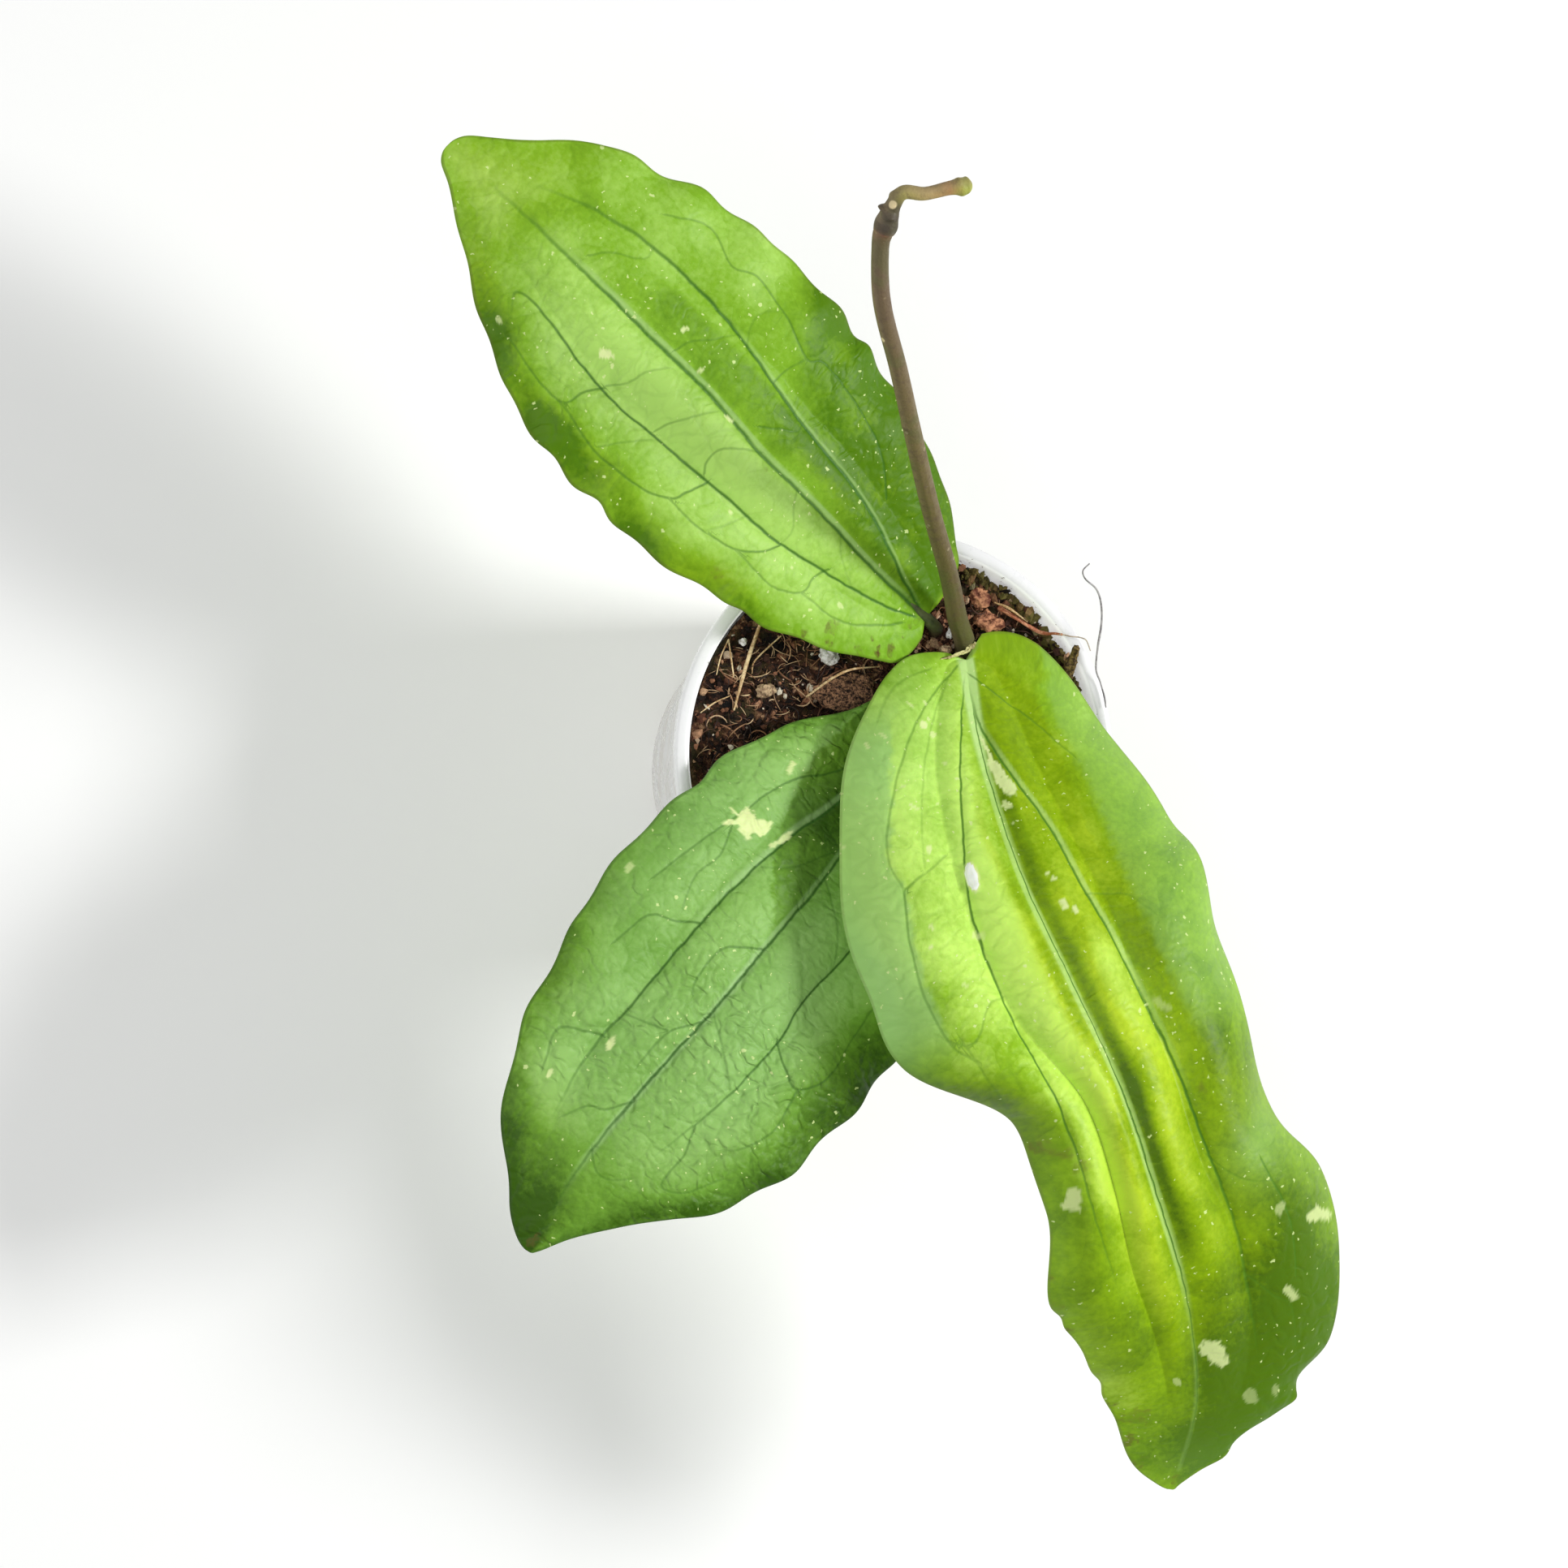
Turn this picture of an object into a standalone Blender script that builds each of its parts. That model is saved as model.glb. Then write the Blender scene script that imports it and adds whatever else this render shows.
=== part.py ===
"""A wax-plant cutting in its small nursery pot: three quilted leaves and one bare vine.

The pot is a thin turned cup of frosted plastic with a rolled lip and drain holes. It is filled with
loose peat, in which the vine and the three leaf stalks stand. Straws, roots, chips of bark and one
grain of perlite lie on the peat. Lengths are in metres, +Z is up, and the origin is the centre of
the pot's flat base.
"""

import math

import bmesh
import bpy
from mathutils import Vector, noise

MM = 0.001
GAP = 0.3 * MM

# Driving dimensions
POT_HEIGHT = 55 * MM
BASE_RADIUS = 22.5 * MM
WALL = 1.0 * MM
LIP_RADIUS = 30.5 * MM
LIP_WIDTH = 2.0 * MM
LIP_DROP = 2.6 * MM
FLOOR = 1.2 * MM
DRAIN_HOLES = 6
DRAIN_RADIUS = 2.0 * MM
DRAIN_RING = 14.5 * MM
SOIL_LEVEL = 50.8 * MM
SOIL_ROUGHNESS = 0.7 * MM
LUMP_SIZE = 7.0 * MM
BLADE = 1.0 * MM
STALK_RADIUS = 1.35 * MM
STALK_DEPTH = 7 * MM
STALK_TAPER = 0.6
VINE_RADIUS = 1.45 * MM

# How finely the round and waved shapes are cut
POT_STEPS = 64
DRAIN_STEPS = 16
SOIL_STEPS = 44
SOIL_RINGS = 8
BLADE_ROWS = 44
BLADE_COLUMNS = 10
STALK_SECTIONS = 15
VINE_SECTIONS = 26
PEDUNCLE_SECTIONS = 14
WELD = 0.01 * MM

for item in list(bpy.data.objects):
    bpy.data.objects.remove(item, do_unlink=True)


def new_collection(name):
    collection = bpy.data.collections.new(name)
    bpy.context.scene.collection.children.link(collection)
    return collection


parts = new_collection("potted_hoya")
cutters = new_collection("cutters")
cutters.hide_render = True


def finish(name, colour, roughness, transmission=0.0):
    """A Principled BSDF with one colour, one roughness and, for the pot, some light let through."""
    material = bpy.data.materials.new(name)
    material.use_nodes = True
    shader = material.node_tree.nodes["Principled BSDF"]
    shader.inputs["Base Color"].default_value = (*colour, 1.0)
    shader.inputs["Roughness"].default_value = roughness
    shader.inputs["Transmission Weight"].default_value = transmission
    return material


frosted_plastic = finish("frosted_plastic", (0.90, 0.91, 0.92), 0.3, 0.5)
peat = finish("peat", (0.050, 0.024, 0.016), 0.95)
leaf_bright = finish("leaf_bright", (0.200, 0.430, 0.045), 0.35)
leaf_dark = finish("leaf_dark", (0.085, 0.270, 0.070), 0.35)
leaf_lime = finish("leaf_lime", (0.330, 0.560, 0.060), 0.35)
vine_bark = finish("vine_bark", (0.150, 0.105, 0.080), 0.6)
dry_straw = finish("dry_straw", (0.720, 0.560, 0.330), 0.7)
root_orange = finish("root_orange", (0.460, 0.190, 0.080), 0.6)
root_grey = finish("root_grey", (0.150, 0.140, 0.140), 0.7)
bark_red = finish("bark_red", (0.190, 0.070, 0.040), 0.85)
perlite = finish("perlite", (0.620, 0.620, 0.580), 0.9)
moss_stick = finish("moss_stick", (0.080, 0.075, 0.030), 0.85)


def add(name, mesh, material, collection=parts):
    """A new object from a mesh, in one collection and with one material."""
    part = bpy.data.objects.new(name, mesh)
    collection.objects.link(part)
    if material:
        mesh.materials.append(material)
    if collection is cutters:
        part.hide_render = True
        part.display_type = "WIRE"
    return part


def smooth(mesh, angle=40):
    mesh.shade_smooth()
    mesh.set_sharp_from_angle(angle=math.radians(angle))


def as_mesh(part, material=None):
    """The evaluated object as a plain mesh object of the same name and in the same collection."""
    name = part.name
    collection = part.users_collection[0]
    bpy.context.view_layer.update()
    evaluated = part.evaluated_get(bpy.context.evaluated_depsgraph_get())
    mesh = bpy.data.meshes.new_from_object(evaluated)
    matrix = part.matrix_world.copy()
    bpy.data.objects.remove(part, do_unlink=True)
    weld = bmesh.new()
    weld.from_mesh(mesh)
    bmesh.ops.remove_doubles(weld, verts=weld.verts, dist=WELD)
    weld.to_mesh(mesh)
    weld.free()
    mesh.materials.clear()
    made = add(name, mesh, material, collection)
    made.matrix_world = matrix
    return made


def turned(name, profile, steps, material):
    """A profile of (radius, height) points turned about the pot's axis."""
    points = [(radius, 0.0, height) for radius, height in profile]
    edges = [(i, i + 1) for i in range(len(points) - 1)]
    mesh = bpy.data.meshes.new(name)
    mesh.from_pydata(points, edges, [])
    part = add(name, mesh, material)
    screw = part.modifiers.new("turn", "SCREW")
    screw.axis = "Z"
    screw.steps = steps
    screw.render_steps = steps
    screw.use_merge_vertices = True
    screw.merge_threshold = WELD
    screw.use_smooth_shade = True
    return part


def cut(part, tool, operation="DIFFERENCE", solver="EXACT"):
    boolean = part.modifiers.new(tool.name, "BOOLEAN")
    boolean.operation = operation
    boolean.solver = solver
    boolean.object = tool


def catmull(points, place):
    """The smooth curve through evenly spaced points, read at a place from 0 to the last index."""
    last = len(points) - 1
    start = min(int(place), last - 1)
    part = place - start
    b = points[start]
    c = points[start + 1]
    a = points[start - 1] if start > 0 else b * 2 - c
    d = points[start + 2] if start + 2 <= last else c * 2 - b
    pull = (b * 3 - a - c * 3 + d) * part**3
    bend = (a * 2 - b * 5 + c * 4 - d) * part**2
    return (b * 2 + (c - a) * part + bend + pull) * 0.5


def route(points_mm, count):
    """Points read evenly from the smooth curve through a few points given in millimetres."""
    points = [Vector(point) * MM for point in points_mm]
    last = len(points) - 1
    return [catmull(points, last * i / (count - 1)) for i in range(count)]


def tube(name, path, radii, material, collection=parts, resolution=2):
    """A round cord along a path, whose radius follows a list read evenly along it."""
    data = bpy.data.curves.new(name, "CURVE")
    data.dimensions = "3D"
    data.bevel_depth = 1.0
    data.bevel_resolution = resolution
    data.use_fill_caps = True
    spline = data.splines.new("POLY")
    spline.points.add(len(path) - 1)
    for i, point in enumerate(path):
        place = (len(radii) - 1) * i / (len(path) - 1)
        spline.points[i].co = (*point, 1.0)
        spline.points[i].radius = catmull(radii, place)
    part = bpy.data.objects.new(name, data)
    collection.objects.link(part)
    return as_mesh(part, material)


# The pot: a turned cup with a rolled lip, and a ring of drain holes in its floor


def outer_radius(height):
    """The tapered outside of the wall."""
    top = LIP_RADIUS - LIP_WIDTH + WALL
    return BASE_RADIUS + (top - BASE_RADIUS) * height / (POT_HEIGHT - LIP_DROP)


lip_inside = LIP_RADIUS - LIP_WIDTH
round_off = 0.5 * MM
under_lip = POT_HEIGHT - LIP_DROP
pot = turned(
    "pot",
    [
        (0.0, FLOOR),
        (outer_radius(FLOOR) - WALL - 2 * round_off, FLOOR),
        (outer_radius(FLOOR) - WALL, FLOOR + 2 * round_off),
        (outer_radius(under_lip) - WALL, under_lip),
        (lip_inside, POT_HEIGHT - round_off),
        (lip_inside + round_off, POT_HEIGHT),
        (LIP_RADIUS - round_off, POT_HEIGHT),
        (LIP_RADIUS, POT_HEIGHT - round_off),
        (LIP_RADIUS, under_lip + round_off),
        (LIP_RADIUS - round_off, under_lip),
        (outer_radius(under_lip), under_lip),
        (outer_radius(round_off), round_off),
        (BASE_RADIUS - round_off, 0.0),
        (0.0, 0.0),
    ],
    POT_STEPS,
    frosted_plastic,
)
for number in range(DRAIN_HOLES):
    turn = 2 * math.pi * (number + 0.5) / DRAIN_HOLES
    drill = bmesh.new()
    bmesh.ops.create_cone(
        drill,
        cap_ends=True,
        segments=DRAIN_STEPS,
        radius1=DRAIN_RADIUS,
        radius2=DRAIN_RADIUS,
        depth=4 * FLOOR,
    )
    drill_mesh = bpy.data.meshes.new("drain")
    drill.to_mesh(drill_mesh)
    drill.free()
    hole = add(f"drain_{number}", drill_mesh, None, cutters)
    hole.location = (DRAIN_RING * math.cos(turn), DRAIN_RING * math.sin(turn), FLOOR / 2)
    cut(pot, hole)


# The vine and the leaf stalks: where each one runs, in millimetres

VINE_ROUTE = [
    (11.2, 15.2, 38.0),
    (11.0, 15.0, 45.0),
    (10.4, 15.3, 51.5),
    (7.5, 18.6, 57.5),
    (4.4, 23.6, 64.0),
    (-1.2, 30.5, 75.0),
    (-7.0, 38.3, 87.0),
    (-11.4, 44.8, 96.0),
    (-15.7, 51.4, 104.0),
    (-17.3, 57.1, 109.0),
    (-17.3, 59.3, 111.4),
]
PEDUNCLE_ROUTE = [
    (-17.3, 59.3, 111.4),
    (-16.9, 61.3, 113.3),
    (-16.0, 62.5, 114.6),
    (-13.6, 62.4, 115.0),
    (-10.7, 63.1, 115.5),
    (-8.0, 63.6, 115.5),
]


def stalk_route(soil_point, joint_point, under_point):
    """A leaf stalk: straight up out of the peat, then over and along the underside of the blade."""
    foot = Vector((soil_point[0] * MM, soil_point[1] * MM, SOIL_LEVEL))
    return [
        foot - Vector((0, 0, STALK_DEPTH)),
        foot - Vector((0, 0, 2 * MM)),
        foot + Vector((0, 0, 1 * MM)),
        Vector(joint_point) * MM,
        Vector(under_point) * MM,
    ]


# The peat: it fills the pot, and its top is raised in low lumps by a formula


NOISE_LAYER = 3.7


def peat_height(x, y):
    """Height of the peat's top at a place: smooth noise about the soil level."""
    spot = Vector((x / LUMP_SIZE, y / LUMP_SIZE, NOISE_LAYER))
    return SOIL_LEVEL + SOIL_ROUGHNESS * noise.noise(spot) * 2


def peat_radius(height):
    return outer_radius(height) - WALL - GAP


peat_rim = peat_radius(SOIL_LEVEL)
peat_top = [(peat_rim * ring / SOIL_RINGS, SOIL_LEVEL) for ring in range(SOIL_RINGS + 1)]
peat_bottom = FLOOR + GAP
soil = turned(
    "soil",
    [
        *peat_top,
        (peat_radius(SOIL_LEVEL / 2), SOIL_LEVEL / 2),
        (peat_radius(peat_bottom + 2 * round_off), peat_bottom + 2 * round_off),
        (peat_radius(peat_bottom) - 2.2 * round_off, peat_bottom),
        (0.0, peat_bottom),
    ],
    SOIL_STEPS,
    peat,
)
soil = as_mesh(soil, peat)
for vertex in soil.data.vertices:
    if vertex.co.z > SOIL_LEVEL - 1 * MM:
        vertex.co.z = peat_height(vertex.co.x, vertex.co.y)
smooth(soil.data, 60)


def stand_in_peat(name, path, radius):
    """Drills the plain hole in the peat that a stem stands in, a small gap wider than the stem."""
    below = path[0] + (path[0] - path[1]).normalized() * GAP
    wide = [radius + GAP, radius + GAP]
    hole_cutter = tube(f"{name}_hole", [below, *path[1:]], wide, None, cutters)
    cut(soil, hole_cutter)


# The vine's radius over VINE_RADIUS at each point of its route, and then the peduncle's
VINE_SIZES = [1.0, 1.0, 1.0, 0.96, 0.9, 0.86, 0.82, 0.78, 0.76, 0.8, 1.1]
PEDUNCLE_SIZES = [0.72, 0.62, 0.56, 0.6, 0.72, 0.5]
vine_path = route(VINE_ROUTE, VINE_SECTIONS)
buried_path = vine_path[:8]
stand_in_peat("stem", buried_path, VINE_RADIUS)
stem = tube(
    "stem",
    [*vine_path, *route(PEDUNCLE_ROUTE, PEDUNCLE_SECTIONS)[1:]],
    [VINE_RADIUS * size for size in (*VINE_SIZES, *PEDUNCLE_SIZES)],
    vine_bark,
)
smooth(stem.data, 60)


# The leaves: waved blades on short stalks

# How far along the midrib its direction is read, and the share of the margin that the shoulder takes
READ_AHEAD = 0.02
SHOULDER_SHARE = 0.3
# The ripple of the right margin runs this much behind that of the left, in radians
RIPPLE_LAG = 1.9
# The rows of a blade are closer together near its two ends
ROW_CROWDING = 0.55


def blade_point(leaf, along, across):
    """A point of a leaf's upper face, with along from 0 at the stalk to 1 at the tip, and across
    from -1 at the right margin to 1 at the left margin, seen from the stalk.

    The midrib is a smooth curve. The margin lies beside it by the half width of its side, swept
    back round the stalk as a shoulder. The height above the midrib is a pleat between the midrib
    and the side vein, a fuller bulge outside it, a droop towards the margin and a ripple along it.
    """
    spine = leaf["spine"]
    centre = catmull(spine, along * (len(spine) - 1))
    ahead = catmull(spine, min(along + READ_AHEAD, 1.0) * (len(spine) - 1))
    behind = catmull(spine, max(along - READ_AHEAD, 0.0) * (len(spine) - 1))
    forward = (ahead - behind).normalized()
    side = Vector((-forward.y, forward.x, 0.0)).normalized()
    hand = "left" if across >= 0 else "right"
    out = abs(across)
    widths = leaf[hand]
    turn = math.acos(1 - 2 * along) / math.pi
    width = max(catmull(widths, turn * (len(widths) - 1)), 0.0)
    swept = math.sin(math.pi * math.sqrt(min(turn / SHOULDER_SHARE, 1.0)))
    sweep = leaf["shoulder"][hand] * swept * out * out
    body = math.sqrt(max(math.sin(math.pi * along), 0.0))
    vein = leaf["side_vein"]
    if out < vein:
        rise = leaf["pleat"] * math.sin(math.pi * out / vein)
    else:
        rise = leaf["bulge"] * math.sin(math.pi * (out - vein) / (1 - vein))
    rise -= leaf["droop"] * out * out * body
    phase = 0.0 if hand == "left" else RIPPLE_LAG
    waves = math.sin(2 * math.pi * leaf["waves"] * along + phase)
    rise += leaf["ripple"] * waves * out**3
    flat = centre + side * math.copysign(width * out, across) - forward * sweep
    return flat + Vector((0, 0, rise * body))


def make_leaf(name, leaf, stalk, material):
    """One leaf: a triangulated waved sheet given its thickness, joined to its stalk."""
    leaf = dict(leaf)
    leaf["spine"] = [Vector(point) * MM for point in leaf["spine"]]
    for hand in ("left", "right"):
        leaf[hand] = [width * MM for width in leaf[hand]]
    leaf["shoulder"] = {hand: size * MM for hand, size in leaf["shoulder"].items()}
    for size in ("pleat", "bulge", "droop", "ripple"):
        leaf[size] *= MM
    sheet = bmesh.new()
    bmesh.ops.create_grid(sheet, x_segments=BLADE_ROWS, y_segments=BLADE_COLUMNS, size=1.0)
    for vertex in sheet.verts:
        place = (vertex.co.x + 1) / 2
        along = place - ROW_CROWDING * math.sin(2 * math.pi * place) / (2 * math.pi)
        vertex.co = blade_point(leaf, min(max(along, 0.0), 1.0), vertex.co.y)
    bmesh.ops.remove_doubles(sheet, verts=sheet.verts, dist=WELD)
    bmesh.ops.triangulate(sheet, faces=sheet.faces)
    mesh = bpy.data.meshes.new(name)
    sheet.to_mesh(mesh)
    sheet.free()
    mesh.shade_smooth()
    blade = add(name, mesh, material)
    thick = blade.modifiers.new("thickness", "SOLIDIFY")
    thick.thickness = BLADE
    thick.offset = -1.0
    above_peat = stalk[2] + Vector((0, 0, 2 * MM))
    stand_in_peat(name, [stalk[0], stalk[1], above_peat], STALK_RADIUS)
    stalk_radii = [*[STALK_RADIUS] * (len(stalk) - 1), STALK_TAPER * STALK_RADIUS]
    step = (len(stalk) - 1) / (STALK_SECTIONS - 1)
    stalk_path = [catmull(stalk, step * i) for i in range(STALK_SECTIONS)]
    cut(blade, tube(f"{name}_stalk", stalk_path, stalk_radii, None, cutters), "UNION", "MANIFOLD")
    return blade


UPPER_LEAF = {
    "spine": [
        (3.5, 18.5, 56.0),
        (-5.0, 25.0, 60.5),
        (-13.0, 31.5, 64.5),
        (-21.5, 38.0, 67.5),
        (-29.5, 45.5, 70.0),
        (-37.5, 52.5, 71.5),
        (-46.0, 60.0, 73.0),
        (-54.5, 67.5, 73.0),
        (-63.5, 75.0, 72.0),
    ],
    "left": [0, 6, 8.5, 11, 14, 16.5, 17.5, 19.5, 20, 20, 18.5, 15, 11, 6.5, 3, 1, 0],
    "right": [0, 7.5, 10.5, 13.5, 16, 18, 20, 21, 21, 20.5, 19, 16, 13.5, 8, 4.5, 2, 0],
    "shoulder": {"left": 2.0, "right": 0.5},
    "side_vein": 0.42,
    "pleat": 0.7,
    "bulge": 1.2,
    "droop": 2.0,
    "ripple": 1.0,
    "waves": 8.5,
}
LEFT_LEAF = {
    "spine": [
        (8.0, 7.0, 54.0),
        (2.0, 0.5, 56.5),
        (-5.5, -8.5, 58.5),
        (-13.0, -17.5, 61.5),
        (-21.5, -26.5, 64.0),
        (-29.5, -35.5, 65.0),
        (-37.5, -44.5, 64.5),
        (-45.0, -54.0, 63.0),
        (-50.5, -64.5, 60.0),
    ],
    "left": [0, 5, 8.5, 11.5, 15, 19, 21, 22.5, 23.5, 23, 22, 19, 14, 8.5, 3.5, 1, 0],
    "right": [0, 4, 5.5, 7.5, 10.5, 15.5, 18.5, 19, 20, 20, 18.5, 16.5, 12.5, 7.5, 4.5, 2, 0],
    "shoulder": {"left": 1.0, "right": 1.0},
    "side_vein": 0.45,
    "pleat": 0.8,
    "bulge": 1.2,
    "droop": 2.0,
    "ripple": 0.7,
    "waves": 7.5,
}
RIGHT_LEAF = {
    "spine": [
        (9.0, 13.0, 56.5),
        (8.5, -0.5, 65.5),
        (11.0, -15.5, 73.5),
        (16.0, -29.0, 78.5),
        (22.0, -43.5, 80.5),
        (27.5, -58.0, 79.0),
        (33.5, -71.5, 73.5),
        (37.5, -85.5, 66.5),
        (37.5, -98.5, 57.5),
    ],
    "left": [0, 8, 15, 19.5, 22, 24.5, 25, 23, 21.5, 21, 25, 24, 20, 11, 4.5, 1, 0],
    "right": [0, 7, 11, 14.5, 19, 22, 24, 23, 13, 13, 16, 14, 11.5, 9.5, 6.5, 2.5, 0],
    "shoulder": {"left": 6.5, "right": 1.5},
    "side_vein": 0.36,
    "pleat": 1.6,
    "bulge": 3.2,
    "droop": 6.5,
    "ripple": 0.8,
    "waves": 6.5,
}
make_leaf(
    "leaf_upper",
    UPPER_LEAF,
    stalk_route((6.2, 17.4), (4.4, 18.2, 55.2), (-1.0, 21.8, 57.4)),
    leaf_bright,
)
make_leaf(
    "leaf_left",
    LEFT_LEAF,
    stalk_route((9.4, 7.4), (8.2, 7.0, 53.3), (3.8, 2.6, 54.9)),
    leaf_dark,
)
make_leaf(
    "leaf_right",
    RIGHT_LEAF,
    stalk_route((10.2, 11.2), (9.2, 11.6, 55.6), (9.0, 5.5, 59.7)),
    leaf_lime,
)


# What lies on the peat: straws, roots and grains, each just clear of the lumps below it

STRAW_CLEARANCE = 0.5 * MM
STRAW_SECTIONS = 9
STRAW_TAPER = 0.6
DENT_SIZE = 1.7


def on_peat(x, y, radius, lift=0.0):
    """A point in metres that holds a straw of this radius just above the peat."""
    top = peat_height(x * MM, y * MM)
    return Vector((x * MM, y * MM, top + radius + STRAW_CLEARANCE + lift * MM))


def straw(name, points_mm, radius):
    """A dry straw laid through a few (x, y, lift) points, in millimetres."""
    knots = [on_peat(x, y, radius, lift) for x, y, lift in points_mm]
    last = len(knots) - 1
    path = [catmull(knots, last * i / (STRAW_SECTIONS - 1)) for i in range(STRAW_SECTIONS)]
    part = tube(name, path, [radius, radius, STRAW_TAPER * radius], dry_straw, resolution=1)
    smooth(part.data, 60)
    return part


def grain(name, centre_mm, size_mm, material, seed, roughness=0.25, turn=0.0):
    """A rough lump: a sphere drawn out to its three sizes and dented by smooth noise."""
    ball = bmesh.new()
    bmesh.ops.create_icosphere(ball, subdivisions=2, radius=1.0)
    for vertex in ball.verts:
        dent = 1 + roughness * noise.noise(vertex.co * DENT_SIZE + Vector((seed, seed, seed)))
        x, y, z = vertex.co * dent
        rolled_x = x * size_mm[0] * math.cos(turn) - y * size_mm[1] * math.sin(turn)
        rolled_y = x * size_mm[0] * math.sin(turn) + y * size_mm[1] * math.cos(turn)
        vertex.co = Vector((rolled_x, rolled_y, z * size_mm[2])) * MM
    x, y = centre_mm
    lowest = max(
        peat_height(vertex.co.x + x * MM, vertex.co.y + y * MM) - vertex.co.z
        for vertex in ball.verts
        if vertex.co.z < 0
    )
    bmesh.ops.translate(ball, verts=ball.verts, vec=(x * MM, y * MM, lowest + GAP))
    mesh = bpy.data.meshes.new(name)
    ball.to_mesh(mesh)
    ball.free()
    mesh.shade_smooth()
    return add(name, mesh, material)


grain("perlite_lump", (-9.0, 13.7), (1.6, 1.2, 1.1), perlite, 2.3)
grain("fibre_lump", (-6.4, 8.6), (3.9, 2.4, 1.0), peat, 5.1, 0.35, 0.2)
grain("tan_lump", (-17.6, 8.6), (1.2, 0.9, 0.8), dry_straw, 7.7, 0.4)
grain("bark_chip_a", (12.6, 22.4), (2.0, 1.0, 0.7), bark_red, 1.2, 0.5, 0.7)
grain("bark_chip_b", (13.6, 18.6), (1.9, 0.9, 0.7), bark_red, 4.4, 0.5, -0.5)
grain("dry_scale", (6.2, 13.7), (1.3, 0.7, 0.4), dry_straw, 9.4, 0.5, 0.3)

STRAW_RADIUS = 0.2 * MM
straw("straw_thick", [(-18.6, 17.4, 1.6), (-20.0, 12.7, 0.4), (-21.8, 6.0, 0)], 1.5 * STRAW_RADIUS)
straw("straw_thin", [(-15.4, 16.1, 0.6), (-18.8, 12.8, 0), (-19.3, 10.9, 0)], STRAW_RADIUS)
straw("straw_side", [(-22.2, 8.0, 0), (-24.4, 7.0, 0), (-26.4, 5.6, 0.3)], STRAW_RADIUS)
arched = [(-11.8, 8.0, 0), (-8.9, 10.3, 2.2), (-6.2, 11.6, 2.4), (-1.7, 12.2, 0.8)]
straw("straw_tan", arched, 1.1 * STRAW_RADIUS)

# One straw is forked: its second prong is joined to it at the fork
fork = straw("straw_forked", [(-22.6, 15.5, 0.5), (-22.2, 13.0, 0.2), (-21.8, 10.4, 0.2)], STRAW_RADIUS)
prong = straw("fork_prong", [(-22.6, 15.5, 0.5), (-23.6, 13.2, 0.2), (-24.2, 10.7, 0.2)], STRAW_RADIUS)
parts.objects.unlink(prong)
cutters.objects.link(prong)
prong.hide_render = True
prong.display_type = "WIRE"
cut(fork, prong, "UNION")

ROOT_RADIUS = 0.35 * MM
ROOT_ROUTE = [
    (14.9, 20.6, 52.3),
    (18.4, 18.6, 52.3),
    (20.4, 17.4, 52.4),
    (21.4, 17.0, 53.5),
    (21.9, 16.9, 55.2),
    (22.8, 16.7, 56.0),
    (24.0, 16.5, 55.9),
    (25.3, 16.3, 55.75),
]
tube(
    "root_orange",
    route(ROOT_ROUTE, 22),
    [ROOT_RADIUS, ROOT_RADIUS, 0.6 * ROOT_RADIUS],
    root_orange,
    resolution=1,
)

STICK_RADIUS = 0.6 * MM
STICK_ROUTE = [
    (24.4, 9.6, 51.8),
    (24.7, 11.6, 53.5),
    (24.6, 13.2, 55.4),
    (24.6, 14.8, 57.2),
]
tube(
    "rim_stick",
    route(STICK_ROUTE, 7),
    [0.9 * STICK_RADIUS, STICK_RADIUS, 0.8 * STICK_RADIUS, 0.9 * STICK_RADIUS],
    moss_stick,
    resolution=1,
)

HAIR_RADIUS = 0.25 * MM
HAIR_ROUTE = [
    (29.1, 6.9, 55.6),
    (28.9, 8.3, 55.6),
    (28.3, 10.3, 55.7),
    (27.5, 12.1, 56.2),
    (27.4, 14.9, 57.2),
    (27.6, 17.5, 58.0),
    (27.6, 19.7, 58.4),
    (27.3, 21.4, 58.6),
    (26.6, 22.8, 58.8),
    (25.1, 24.0, 59.0),
    (24.7, 25.1, 59.1),
    (25.6, 26.1, 59.2),
]
tube(
    "root_hair",
    route(HAIR_ROUTE, 34),
    [HAIR_RADIUS, HAIR_RADIUS, 0.7 * HAIR_RADIUS],
    root_grey,
    resolution=1,
)
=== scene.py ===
"""The looks of a wax-plant cutting in its nursery pot, built round the part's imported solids.

The sections follow the plant as it is potted: the pot, the peat, the crumbs and roots on the peat,
the vine, the three leaves, and last the table, the lamps and the camera. Shapes are worked out in
millimetres and go into the meshes in metres.
"""

import math

import bpy
import numpy as np
from mathutils import Matrix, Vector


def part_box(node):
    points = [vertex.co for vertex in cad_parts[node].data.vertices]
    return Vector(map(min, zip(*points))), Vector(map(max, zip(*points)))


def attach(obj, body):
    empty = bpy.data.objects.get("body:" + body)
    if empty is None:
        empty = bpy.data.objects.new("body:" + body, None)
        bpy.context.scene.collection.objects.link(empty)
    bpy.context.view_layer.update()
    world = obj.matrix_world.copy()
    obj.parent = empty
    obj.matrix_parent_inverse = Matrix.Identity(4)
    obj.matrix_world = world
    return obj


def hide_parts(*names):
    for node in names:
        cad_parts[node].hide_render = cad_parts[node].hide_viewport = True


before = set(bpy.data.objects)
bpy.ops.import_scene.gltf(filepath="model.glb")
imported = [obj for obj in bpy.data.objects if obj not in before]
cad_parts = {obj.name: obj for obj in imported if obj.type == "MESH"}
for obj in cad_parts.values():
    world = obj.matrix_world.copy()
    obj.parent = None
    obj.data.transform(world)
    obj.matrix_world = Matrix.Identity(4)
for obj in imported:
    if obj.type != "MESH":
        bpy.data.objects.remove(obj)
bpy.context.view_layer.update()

# The pot
# A round nursery pot, injection moulded in one piece from frosted, nearly clear polypropylene.
# A tapered wall under a millimetre thick runs up to a rolled lip, and the flat floor has drain holes.

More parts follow.
